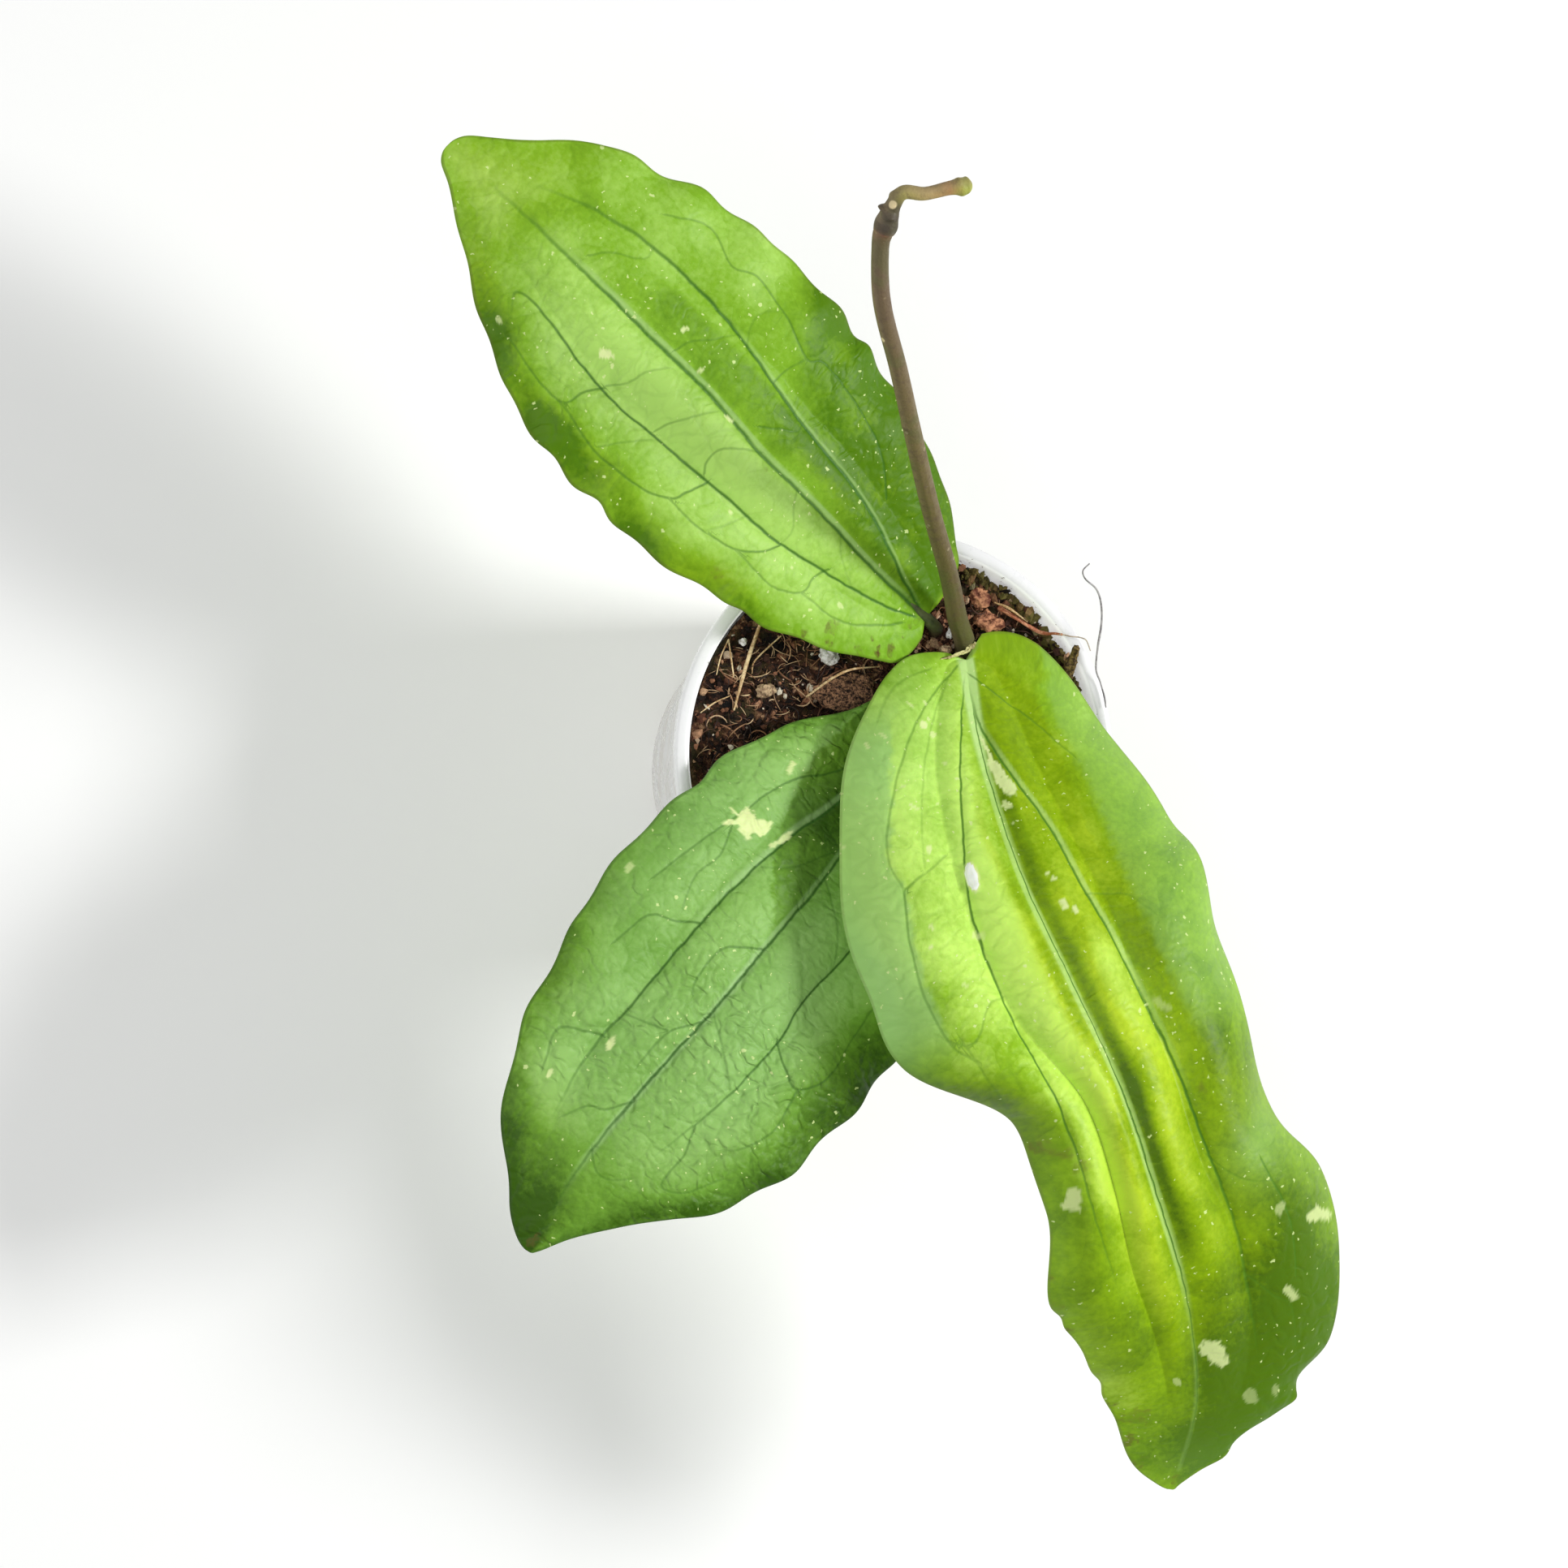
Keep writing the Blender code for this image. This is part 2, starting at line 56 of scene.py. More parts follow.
MM = 0.001
pot_height = 55.0
pot_base_radius = 22.5
pot_wall = 1.0
lip_radius = 30.5
lip_width = 2.0
lip_drop = 2.6
pot_floor = 1.2
drain_holes = 6
drain_radius = 2.0
drain_ring = 14.5


def tint(red, green, blue):
    """A colour as it is read off a picture, 0 to 255, made linear for a shader socket."""
    shown = np.array([red, green, blue]) / 255.0
    linear = np.where(shown <= 0.04045, shown / 12.92, ((shown + 0.055) / 1.055) ** 2.4)
    return (*linear.tolist(), 1.0)


def ring_quads(rows, columns):
    """Point numbers ring by ring, those of the points beside them, and the quads between the rings."""
    here = np.arange(rows * columns).reshape(rows, columns)
    beside = np.roll(here, -1, axis=1)
    quads = np.stack([here[:-1], beside[:-1], beside[1:], here[1:]], axis=-1).reshape(-1, 4)
    return here, beside, quads


def skin(name, rings, foot, tip):
    """A closed mesh over a row of closed rings, given in mm as an array (rings, points, 3).

    Each ring is joined to the next by quads. A fan closes the first ring onto the point foot and the
    last ring onto the point tip. Seen along the row, the points of a ring run clockwise, which turns
    the faces outwards.
    """
    rows, columns = rings.shape[:2]
    here, beside, quads = ring_quads(rows, columns)
    ends = np.full(columns, rows * columns)
    first_fan = np.stack([beside[0], here[0], ends], axis=-1)
    last_fan = np.stack([here[-1], beside[-1], ends + 1], axis=-1)
    points = np.concatenate([rings.reshape(-1, 3), [foot], [tip]]) * MM
    mesh = bpy.data.meshes.new(name)
    mesh.from_pydata(points.tolist(), [], quads.tolist() + first_fan.tolist() + last_fan.tolist())
    mesh.shade_smooth()
    return mesh


def place(name, mesh, material, slot, *nodes):
    """Puts a finished mesh in the scene on the root body, with its material and the nodes it stands for."""
    piece = bpy.data.objects.new(name, mesh)
    bpy.context.scene.collection.objects.link(piece)
    mesh.materials.append(material)
    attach(piece, "root")
    if nodes:
        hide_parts(*nodes)
    return piece


def rounded(corners, reach, steps=5):
    """A profile of (radius, height) corners with each inner corner eased by a small curve.

    The curve is the parabola from reach before the corner to reach after it, pulled by the corner.
    """
    corners = np.array(corners, float)
    made = [corners[0]]
    for before, corner, after in zip(corners[:-2], corners[1:-1], corners[2:]):
        back = before - corner
        ahead = after - corner
        start = corner + back * min(reach / np.linalg.norm(back), 0.49)
        end = corner + ahead * min(reach / np.linalg.norm(ahead), 0.49)
        t = np.linspace(0, 1, steps)[:, None]
        made.extend((1 - t) ** 2 * start + 2 * t * (1 - t) * corner + t**2 * end)
    made.append(corners[-1])
    return np.array(made)


def spaced(profile, step):
    """The same profile with points added along its straight runs, so that none is longer than step."""
    made = [profile[:1]]
    for start, end in zip(profile[:-1], profile[1:]):
        count = max(1, math.ceil(np.linalg.norm(end - start) / step))
        made.append(start + (end - start) * np.linspace(0, 1, count + 1)[1:, None])
    return np.concatenate(made)


def turned(profile, steps):
    """Rings made by turning a (radius, height) profile about the pot's axis."""
    angle = np.linspace(0, 2 * math.pi, steps, endpoint=False)
    radius = profile[:, 0, None]
    height = np.repeat(profile[:, 1, None], steps, axis=1)
    return np.stack([radius * np.cos(angle), radius * np.sin(angle), height], axis=-1)


def wall_radius(height):
    """Outside radius of the tapered wall: a straight line from the base to just under the lip."""
    top = lip_radius - lip_width + pot_wall
    return pot_base_radius + (top - pot_base_radius) * height / (pot_height - lip_drop)


def make_pot():
    """The cup: its outside from the base up, over the lip, and down the inside to the floor."""
    under_lip = pot_height - lip_drop
    stack_step = 9.0
    corners = [
        (0.4, 0.0),
        (pot_base_radius, 0.0),
        (wall_radius(under_lip - stack_step) - 0.15, under_lip - stack_step),
        (wall_radius(under_lip - stack_step) + 0.1, under_lip - stack_step + 0.5),
        (wall_radius(under_lip) - 0.05, under_lip),
        (lip_radius - 0.15, under_lip - 0.1),
        (lip_radius, pot_height),
        (lip_radius - lip_width, pot_height),
        (lip_radius - lip_width - 0.05, under_lip),
        (wall_radius(pot_floor) - pot_wall, pot_floor),
        (0.4, pot_floor),
    ]
    profile = spaced(rounded(corners, 0.8), 2.5)
    mesh = skin("pot_cup", turned(profile, 192), (0, 0, 0), (0, 0, pot_floor))
    cup = bpy.data.objects.new("pot_cup_blank", mesh)
    bpy.context.scene.collection.objects.link(cup)
    drills = []
    for number in range(drain_holes):
        turn = 2 * math.pi * (number + 0.5) / drain_holes
        pin = spaced(np.array([(drain_radius, -2.0), (drain_radius, 4.0)]), 2.0)
        rings = turned(pin, 32) + np.array([drain_ring * math.cos(turn), drain_ring * math.sin(turn), 0])
        drill_mesh = skin("drill", rings, rings[0].mean(axis=0), rings[-1].mean(axis=0))
        drill = bpy.data.objects.new("drill", drill_mesh)
        bpy.context.scene.collection.objects.link(drill)
        drills.append(drill)
        bore = cup.modifiers.new("bore", "BOOLEAN")
        bore.operation = "DIFFERENCE"
        bore.solver = "MANIFOLD"
        bore.object = drill
    bpy.context.view_layer.update()
    finished = cup.evaluated_get(bpy.context.evaluated_depsgraph_get())
    bored = bpy.data.meshes.new_from_object(finished)
    # The boolean leaves an empty material slot, which would come before the pot's own.
    bored.materials.clear()
    for helper in (cup, *drills):
        bpy.data.objects.remove(helper, do_unlink=True)
    bored.shade_smooth()
    bored.set_sharp_from_angle(angle=math.radians(50))
    return bored


class Shader:
    """A short way to lay out one material's nodes and to join them."""

    def __init__(self, name, group=None):
        """Starts a new material of this name, or works in the node group that is given."""
        self.tree = group
        if group is None:
            self.material = bpy.data.materials.new(name)
            self.material.use_nodes = True
            self.tree = self.material.node_tree
            self.surface = self.tree.nodes["Principled BSDF"]

    def node(self, kind, **inputs):
        """A node of this kind, with settings by name and its inputs by in_NAME or in_NUMBER."""
        made = self.tree.nodes.new(kind)
        for key, value in inputs.items():
            if not key.startswith("in_"):
                setattr(made, key, value)
        for key, value in inputs.items():
            if key.startswith("in_"):
                label = key[3:]
                socket = made.inputs[int(label) if label.isdigit() else label.replace("_", " ")]
                self.join(value, socket)
        return made

    def join(self, value, socket):
        """Links another node's output to the socket, or sets the socket to a plain value."""
        if isinstance(value, bpy.types.NodeSocket):
            self.tree.links.new(value, socket)
        else:
            socket.default_value = value

    def noise(self, where, scale, detail=3.0, roughness=0.5, stretch=None):
        """Noise from 0 to 1 whose bumps are about 1/scale metres wide."""
        if stretch:
            where = self.node("ShaderNodeMapping", in_Vector=where, in_Scale=stretch).outputs[0]
        made = self.node(
            "ShaderNodeTexNoise", in_Vector=where, in_Scale=scale, in_Detail=detail, in_Roughness=roughness
        )
        return made.outputs["Fac"]

    def range(self, value, low, high, to_low=0.0, to_high=1.0):
        """Maps low..high to to_low..to_high and stops there, smoothly at both ends."""
        made = self.node(
            "ShaderNodeMapRange",
            interpolation_type="SMOOTHSTEP",
            in_0=value,
            in_1=low,
            in_2=high,
            in_3=to_low,
            in_4=to_high,
        )
        return made.outputs[0]

    def math(self, operation, first, second=0.0, clamp=False):
        """One operation on two values, kept within 0 and 1 if clamp is set."""
        made = self.node(
            "ShaderNodeMath", operation=operation, use_clamp=clamp, in_0=first, in_1=second
        )
        return made.outputs[0]

    def times(self, first, second, clamp=False):
        """The product of two values."""
        return self.math("MULTIPLY", first, second, clamp)

    def plus(self, first, second, clamp=False):
        """The sum of two values."""
        return self.math("ADD", first, second, clamp)

    def mix(self, factor, first, second, blend="MIX"):
        """The first colour where the factor is 0, and the second where it is 1."""
        made = self.node(
            "ShaderNodeMix", data_type="RGBA", blend_type=blend, in_0=factor, in_6=first, in_7=second
        )
        return made.outputs[2]

    def ramp(self, value, *stops):
        """A colour ramp through (place, colour) stops."""
        made = self.node("ShaderNodeValToRGB", in_0=value)
        elements = made.color_ramp.elements
        while len(elements) < len(stops):
            elements.new(0.5)
        for element, (spot, colour) in zip(elements, stops):
            element.position = spot
        for element, (spot, colour) in zip(elements, stops):
            element.color = colour
        return made.outputs[0]

    def bump(self, height, distance, strength=1.0):
        """A normal tilted as if the height, times this distance in metres, stood on the surface."""
        made = self.node("ShaderNodeBump", in_Height=height, in_Distance=distance, in_Strength=strength)
        return made.outputs[0]

    def where(self, output="Object"):
        """The place on the object in metres, or on the flattened leaf with UV."""
        return self.node("ShaderNodeTexCoord").outputs[output]

    def finish(self, **inputs):
        """Joins or sets the Principled BSDF's inputs by name."""
        for key, value in inputs.items():
            self.join(value, self.surface.inputs[key.replace("_", " ")])
        return self.material


def frosted_plastic():
    """Milky clear plastic that lets light through its wall, faintly rippled from the mould.

    Peat dust and specks cling to the inside of the wall, thickest just over the peat. The inside is
    painted to glow faintly, a painted light standing in for the light that comes through from outside.
    Below the filling level the peat pressed against the wall shows through it as soft brown blotches.
    """
    look = Shader("frosted_plastic")
    where = look.where()
    apart = look.node("ShaderNodeSeparateXYZ", in_Vector=where)
    flat = look.node("ShaderNodeCombineXYZ", in_X=apart.outputs[0], in_Y=apart.outputs[1])
    radius = look.node("ShaderNodeVectorMath", operation="LENGTH", in_0=flat.outputs[0]).outputs["Value"]
    inside = look.range(radius, (lip_radius - lip_width + 0.4) * MM, (lip_radius - lip_width + 0.1) * MM)
    height = apart.outputs[2]
    filled_to = 50.0 * MM
    inside = look.times(inside, look.range(height, filled_to - 1.5 * MM, filled_to - 0.5 * MM))
    low = look.range(height, filled_to + 4.5 * MM, filled_to + 1.8 * MM)
    cloud = look.times(look.range(look.noise(where, 260, 4), 0.42, 0.62), low)
    speck = look.range(look.noise(where, 1300, 2), 0.66, 0.7)
    smudge = look.times(look.plus(look.times(cloud, 0.3), speck, clamp=True), inside)
    haze = look.range(look.noise(where, 60, 3), 0.35, 0.7)
    clear = look.mix(haze, tint(243, 243, 244), tint(252, 252, 252))
    dirt = look.mix(look.range(look.noise(where, 500, 2), 0.4, 0.6), tint(92, 78, 60), tint(120, 118, 70))
    roughness = look.range(look.noise(where, 400, 4), 0.3, 0.7, 0.24, 0.38)
    orange_peel = look.noise(where, 900, 2)
    draw_lines = look.noise(where, 260, 2, stretch=(1.0, 1.0, 0.06))
    relief = look.plus(look.times(orange_peel, 0.4), draw_lines)
    filled = look.range(height, filled_to + 1.2 * MM, filled_to - 1.2 * MM)
    pressed = look.range(look.noise(where, 150, 5, 0.6), 0.36, 0.64, 0.2, 0.7)
    clear = look.mix(look.times(filled, pressed), clear, tint(214, 206, 197))
    colour = look.mix(look.times(smudge, 0.75), clear, dirt)
    return look.finish(
        Base_Color=colour,
        # Painted glow: the inside of the wall gives off light in its own colour, standing in for light let
        # through the wall.
        Emission_Color=look.mix(inside, (0.0, 0.0, 0.0, 1.0), colour),
        Emission_Strength=0.38,
        Roughness=roughness,
        IOR=1.49,
        Subsurface_Weight=0.6,
        Subsurface_Radius=(1.0, 1.0, 1.0),
        Subsurface_Scale=0.003,
        Normal=look.bump(relief, 0.00004, 0.15),
    )


place("pot_cup", make_pot(), frosted_plastic(), "frosted_plastic", "pot")

# The peat
# Dark moist peat with coir, pressed loosely into the pot up to a few millimetres under the lip.
# Its top is lumpy, and its side lies against the wall.

soil_level = 50.8
soil_gap = 0.3


def cell_value(cells, seed):
    """A repeatable number from 0 to 1 for each whole-numbered cell, from the sine of its position."""
    mixed = np.sin(cells @ np.array([127.1, 311.7, 74.7])[: cells.shape[-1]] + 17.3 * seed) * 43758.5453
    return mixed - np.floor(mixed)


def lumps(points, size, seed):
    """Smooth noise from -1 to 1: random values on a lattice of this size, eased between its corners."""
    spot = points / size
    cell = np.floor(spot)
    part = spot - cell
    part = part * part * (3 - 2 * part)
    total = np.zeros(points.shape[:-1])
    axes = points.shape[-1]
    for number in range(2**axes):
        corner = np.array([(number >> axis) & 1 for axis in range(axes)])
        weight = np.prod(np.where(corner, part, 1 - part), axis=-1)
        total += weight * cell_value(cell + corner, seed)
    return 2 * total - 1


def wall_moss(x, y):
    """From 0 to 1, how far a mossy crust has crept up the wall: a band by the wall, behind on the right."""
    bearing = np.degrees(np.arctan2(y, x)) - 36
    gap = wall_radius(soil_level) - pot_wall - soil_gap - np.hypot(x, y)
    return np.exp(-((gap / 1.7) ** 2)) * np.exp(-((bearing / 42) ** 4))


def peat_top(x, y):
    """Height of the peat's top in mm: the filling level, lumps of three widths, and the mossy crust."""
    spot = np.stack([x, y], axis=-1)
    rise = 0.55 * lumps(spot, 7.0, 1) + 0.6 * lumps(spot, 2.6, 2) + 0.36 * lumps(spot, 1.1, 3)
    crust = wall_moss(x, y) * (1.9 + 1.3 * lumps(spot, 2.4, 9))
    return soil_level + rise + crust


def make_peat():
    """The body of peat: its underside, its side against the wall, and its lumpy top."""
    under_rings, side_rings, top_rings, steps = 12, 70, 90, 260
    rim = wall_radius(soil_level) - pot_wall - soil_gap
    low = pot_floor + soil_gap
    foot_radius = wall_radius(low) - pot_wall - soil_gap - 0.8
    radii = [
        np.linspace(0.5, foot_radius, under_rings),
        np.linspace(foot_radius + 0.8, rim, side_rings),
        np.linspace(rim - 0.3, 0.3, top_rings),
    ]
    heights = [
        np.full(under_rings, low),
        np.linspace(low + 1.0, soil_level - 0.6, side_rings),
        np.full(top_rings, soil_level),
    ]
    rings = turned(np.stack([np.concatenate(radii), np.concatenate(heights)], axis=-1), steps)
    top = rings[under_rings + side_rings :]
    top[..., 2] = peat_top(top[..., 0], top[..., 1])
    side = rings[under_rings : under_rings + side_rings]
    pressed = lumps(side, 2.2, 4) + 0.6 * lumps(side, 0.9, 5)
    side *= 1 - 0.35 * (1 + pressed)[..., None] / wall_radius(25) * np.array([1, 1, 0])
    return skin("peat_body", rings, (0, 0, low), (0, 0, float(peat_top(np.array(0.0), np.array(0.0)))))


def moist_peat():
    """Almost black where it is wet and in the gaps, where the black is painted shade; red-brown where coir
    shows, with pale specks of sand.
    """
    look = Shader("moist_peat")
    where = look.where()
    patch = look.noise(where, 220, 4, 0.6)
    crumb = look.noise(where, 1500, 4, 0.75)
    clod = look.noise(where, 560, 2, 0.5)
    mixed = look.plus(look.times(patch, 0.25), look.times(crumb, 0.35))
    mixed = look.plus(mixed, look.times(clod, 0.4))
    # The darkest stops are painted shade in the gaps between the crumbs.
    colour = look.ramp(
        mixed,
        (0.41, tint(12, 7, 6)),
        (0.48, tint(46, 27, 19)),
        (0.55, tint(108, 68, 46)),
        (0.63, tint(204, 160, 120)),
    )
    moss = look.times(look.range(look.noise(where, 300, 3), 0.5, 0.62), 0.55)
    colour = look.mix(moss, colour, tint(84, 76, 40))
    relief = look.plus(look.noise(where, 2600, 3, 0.7), look.times(crumb, 1.6))
    return look.finish(
        Base_Color=colour,
        Roughness=look.range(patch, 0.3, 0.7, 0.72, 0.98),
        Specular_IOR_Level=0.3,
        Normal=look.bump(relief, 0.0009, 1.0),
    )


peat_look = moist_peat()
place("peat_body", make_peat(), peat_look, "peat", "soil")

# Crumbs and coir on the peat
# Loose crumbs of peat and bark, a few grains of perlite, and short coir fibres. They lie on the
# peat where they fell when the pot was filled.

chance = np.random.default_rng(11)
crumb_count = 6000
fibre_count = 1900
heap_count = 380
heap_centre = (5.2, 16.4)
heap_spread = (2.6, 2.2)
fringe_count = 420
fringe_bearing = 0.63
fringe_width = 1.4


def paint(mesh, name, values):
    """Keeps one colour for each vertex under this name: an array (vertices, up to 4)."""
    full = np.ones((len(mesh.vertices), 4))
    full[:, : values.shape[1]] = values
    layer = mesh.attributes.new(name, "FLOAT_COLOR", "POINT")
    layer.data.foreach_set("color", full.astype(np.float32).ravel())


def make_crumbs():
    """All crumbs in one mesh: each is a twenty-sided solid, dented, turned and stretched at random.

    The first ones are heaped at the foot of the vine, the next ones lie in the mossy fringe by the
    wall, and the rest lie anywhere.
    """
    turn = np.linspace(0, 2 * math.pi, 5, endpoint=False)
    lower = np.stack([np.cos(turn), np.sin(turn), np.full(5, -0.5)], axis=-1) * 0.894
    turn = turn + math.pi / 5
    upper = np.stack([np.cos(turn), np.sin(turn), np.full(5, 0.5)], axis=-1) * 0.894
    solid = np.concatenate([[[0, 0, -1.0]], lower, upper, [[0, 0, 1.0]]])
    here = np.arange(5) + 1
    after = np.roll(here, -1)
    bands = [
        (0 * here, after, here),
        (here, after, here + 5),
        (after, after + 5, here + 5),
        (here + 5, after + 5, 0 * here + 11),
    ]
    faces = np.concatenate([np.stack(band, axis=-1) for band in bands])
    number = np.arange(crumb_count)
    heap = number < heap_count
    fringe = (number >= heap_count) & (number < heap_count + fringe_count)
    room = wall_radius(soil_level) - pot_wall - 0.9
    fringe_reach = room + 0.3 - 1.6 * chance.random(crumb_count) ** 2
    reach = np.where(fringe, fringe_reach, room * np.sqrt(chance.random(crumb_count)))
    fringe_angle = fringe_bearing + fringe_width * (chance.random(crumb_count) - 0.5)
    angle = np.where(fringe, fringe_angle, 2 * math.pi * chance.random(crumb_count))
    heap_x = heap_centre[0] + heap_spread[0] * chance.normal(size=crumb_count)
    heap_y = heap_centre[1] + heap_spread[1] * chance.normal(size=crumb_count)
    x = np.where(heap, heap_x, reach * np.cos(angle))
    y = np.where(heap, heap_y, reach * np.sin(angle))
    size = 0.15 + 0.5 * chance.random(crumb_count) ** 4 + 0.15 * heap + 0.12 * fringe
    dents = 1 + 0.9 * (chance.random((crumb_count, 12, 1)) - 0.5)
    stretch = size[:, None] * (0.45 + 1.0 * chance.random((crumb_count, 3)))
    shapes = solid * dents * stretch[:, None, :]
    frame_a = chance.normal(size=(crumb_count, 3))
    frame_a /= np.linalg.norm(frame_a, axis=1)[:, None]
    frame_b = np.cross(frame_a, chance.normal(size=(crumb_count, 3)))
    frame_b /= np.linalg.norm(frame_b, axis=1)[:, None]
    frame_c = np.cross(frame_a, frame_b)
    turned_shapes = np.einsum("nvk,nkj->nvj", shapes, np.stack([frame_a, frame_b, frame_c], axis=1))
    seat = np.stack([x, y, peat_top(x, y) + 0.3 * size], axis=-1)
    points = (turned_shapes + seat[:, None, :]).reshape(-1, 3)
    corners = (faces[None] + 12 * np.arange(crumb_count)[:, None, None]).reshape(-1, 3)
    mesh = bpy.data.meshes.new("peat_crumbs")
    mesh.from_pydata((points * MM).tolist(), [], corners.tolist())
    tone = chance.random(crumb_count)
    tone = np.where(heap, 0.45 + 0.55 * tone, tone)
    moss = np.maximum(wall_moss(x, y), 0.8 * fringe) * chance.random(crumb_count)
    paint(mesh, "tone", np.repeat(np.stack([tone, moss], axis=-1), 12, axis=0))
    return mesh


def crumb_finish():
    """Each crumb takes one tone: dark peat, red-brown bark, tan coir or, rarely, white perlite."""
    look = Shader("crumb_finish")
    where = look.where()
    part = look.node("ShaderNodeAttribute", attribute_name="tone").outputs["Color"]
    part = look.node("ShaderNodeSeparateColor", in_0=part).outputs
    colour = look.ramp(
        part[0],
        (0.0, tint(16, 9, 7)),
        (0.38, tint(44, 26, 19)),
        (0.66, tint(96, 58, 42)),
        (0.85, tint(164, 114, 84)),
        (0.95, tint(206, 166, 130)),
        (0.985, tint(232, 222, 200)),
    )
    colour = look.mix(look.range(part[1], 0.1, 0.5, 0.0, 0.85), colour, tint(104, 96, 44))
    grain = look.noise(where, 2400, 3, 0.7)
    shade = look.ramp(grain, (0.3, (0.55, 0.55, 0.55, 1.0)), (0.7, (1.25, 1.25, 1.25, 1.0)))
    return look.finish(
        Base_Color=look.mix(1.0, colour, shade, "MULTIPLY"),
        Roughness=look.range(grain, 0.3, 0.7, 0.75, 0.97),
        Specular_IOR_Level=0.3,
        Normal=look.bump(grain, 0.0003, 0.8),
    )


place("peat_crumbs", make_crumbs(), crumb_finish(), "peat")


def along_route(knots, at):
    """The smooth curve through evenly spaced knots (Catmull-Rom), read at 0 to the last index."""
    knots = np.asarray(knots, float)
    last = len(knots) - 1
    at = np.asarray(at, float)
    start = np.clip(at.astype(int), 0, last - 1)
    part = at - start
    if knots.ndim > 1:
        part = part[..., None]
    b = knots[start]
    c = knots[start + 1]
    before = 2 * knots[0] - knots[1]
    after = 2 * knots[-1] - knots[-2]
    padded = np.concatenate([[before], knots, [after]])
    a = padded[start]
    d = padded[start + 3]
    bend = (2 * a - 5 * b + 4 * c - d) * part**2
    pull = (3 * b - a - 3 * c + d) * part**3
    return 0.5 * (2 * b + (c - a) * part + bend + pull)


def cord_rings(path, radius, sides):
    """Round rings carried along a path without twisting. The radius is (points) or (points, sides)."""
    ahead = np.gradient(path, axis=0)
    ahead /= np.linalg.norm(ahead, axis=1)[:, None]
    across = np.cross(ahead[0], [0.3, 0.2, 0.93])
    across /= np.linalg.norm(across)
    normals = [across]
    for direction in ahead[1:]:
        across = across - direction * (across @ direction)
        across /= np.linalg.norm(across)
        normals.append(across)
    normals = np.array(normals)
    sideways = np.cross(ahead, normals)
    turn = np.linspace(0, 2 * math.pi, sides, endpoint=False)
    radius = np.asarray(radius, float)
    if radius.ndim == 1:
        radius = np.repeat(radius[:, None], sides, axis=1)
    round_part = np.cos(turn)[None, :, None] * normals[:, None]
    round_part = round_part + np.sin(turn)[None, :, None] * sideways[:, None]
    return path[:, None] + radius[..., None] * round_part


def make_fibres():
    """Short coir fibres in one mesh: each is a thin four-sided cord bent into a low arc over the peat."""
    reach = (wall_radius(soil_level) - pot_wall - 3.0) * np.sqrt(chance.random(fibre_count))
    angle = 2 * math.pi * chance.random(fibre_count)
    heading = 2 * math.pi * chance.random(fibre_count)
    curl = chance.normal(size=fibre_count) * 0.75
    length = 1.2 + 4.2 * chance.random(fibre_count) ** 2
    thick = 0.05 + 0.08 * chance.random(fibre_count) ** 2
    steps = 9
    sides = 4
    along = np.linspace(-0.5, 0.5, steps)
    direction = heading[:, None] + curl[:, None] * along * 2
    x = (reach * np.cos(angle))[:, None] + length[:, None] * np.cumsum(np.cos(direction), axis=1) / steps
    y = (reach * np.sin(angle))[:, None] + length[:, None] * np.cumsum(np.sin(direction), axis=1) / steps
    limit = wall_radius(soil_level) - pot_wall - 0.9
    distance = np.maximum(np.hypot(x, y) / limit, 1.0)
    x, y = x / distance, y / distance
    arch = (0.15 + 0.9 * chance.random(fibre_count) ** 3)[:, None] * (1 - 4 * along**2) * 1.2
    path = np.stack([x, y, peat_top(x, y) + 0.12 + arch], axis=-1)
    ahead = np.gradient(path, axis=1)
    ahead /= np.linalg.norm(ahead, axis=2, keepdims=True)
    level = np.cross(ahead, [0, 0, 1.0])
    level /= np.linalg.norm(level, axis=2, keepdims=True) + 1e-9
    upright = np.cross(ahead, level)
    turn = np.linspace(0, 2 * math.pi, sides, endpoint=False)
    spread = np.cos(turn)[:, None] * level[:, :, None] + np.sin(turn)[:, None] * upright[:, :, None]
    taper = (thick[:, None] * (1 - 0.7 * np.abs(2 * along) ** 3))[..., None, None]
    rings = path[:, :, None] + taper * spread
    here, _, quads = ring_quads(steps, sides)
    quads = np.concatenate([quads, here[:1, ::-1], here[-1:]])
    corners = (quads[None] + steps * sides * np.arange(fibre_count)[:, None, None]).reshape(-1, 4)
    mesh = bpy.data.meshes.new("coir_fibres")
    mesh.from_pydata((rings.reshape(-1, 3) * MM).tolist(), [], corners.tolist())
    mesh.shade_smooth()
    tone = np.repeat(chance.random(fibre_count), steps * sides)
    paint(mesh, "tone", np.stack([tone, tone, tone], axis=-1))
    return mesh


def coir_finish():
    """Each fibre takes one tone from dark brown to straw, with darker streaks."""
    look = Shader("coir_finish")
    tone = look.node("ShaderNodeAttribute", attribute_name="tone").outputs["Fac"]
    colour = look.ramp(
        tone,
        (0.0, tint(26, 15, 11)),
        (0.42, tint(78, 46, 32)),
        (0.74, tint(166, 118, 82)),
        (1.0, tint(236, 204, 160)),
    )
    streak = look.noise(look.where(), 2200, 2)
    return look.finish(
        Base_Color=look.mix(look.range(streak, 0.4, 0.7, 0.0, 0.4), colour, tint(40, 26, 18)),
        Roughness=look.range(streak, 0.3, 0.7, 0.55, 0.8),
    )


place("coir_fibres", make_fibres(), coir_finish(), "peat")

# Lumps on the peat
# A grain of perlite, a clump of brown fibre, a tan crumb, two chips of reddish bark and a dry scale
# from the vine. Each lies on the peat by its own weight.


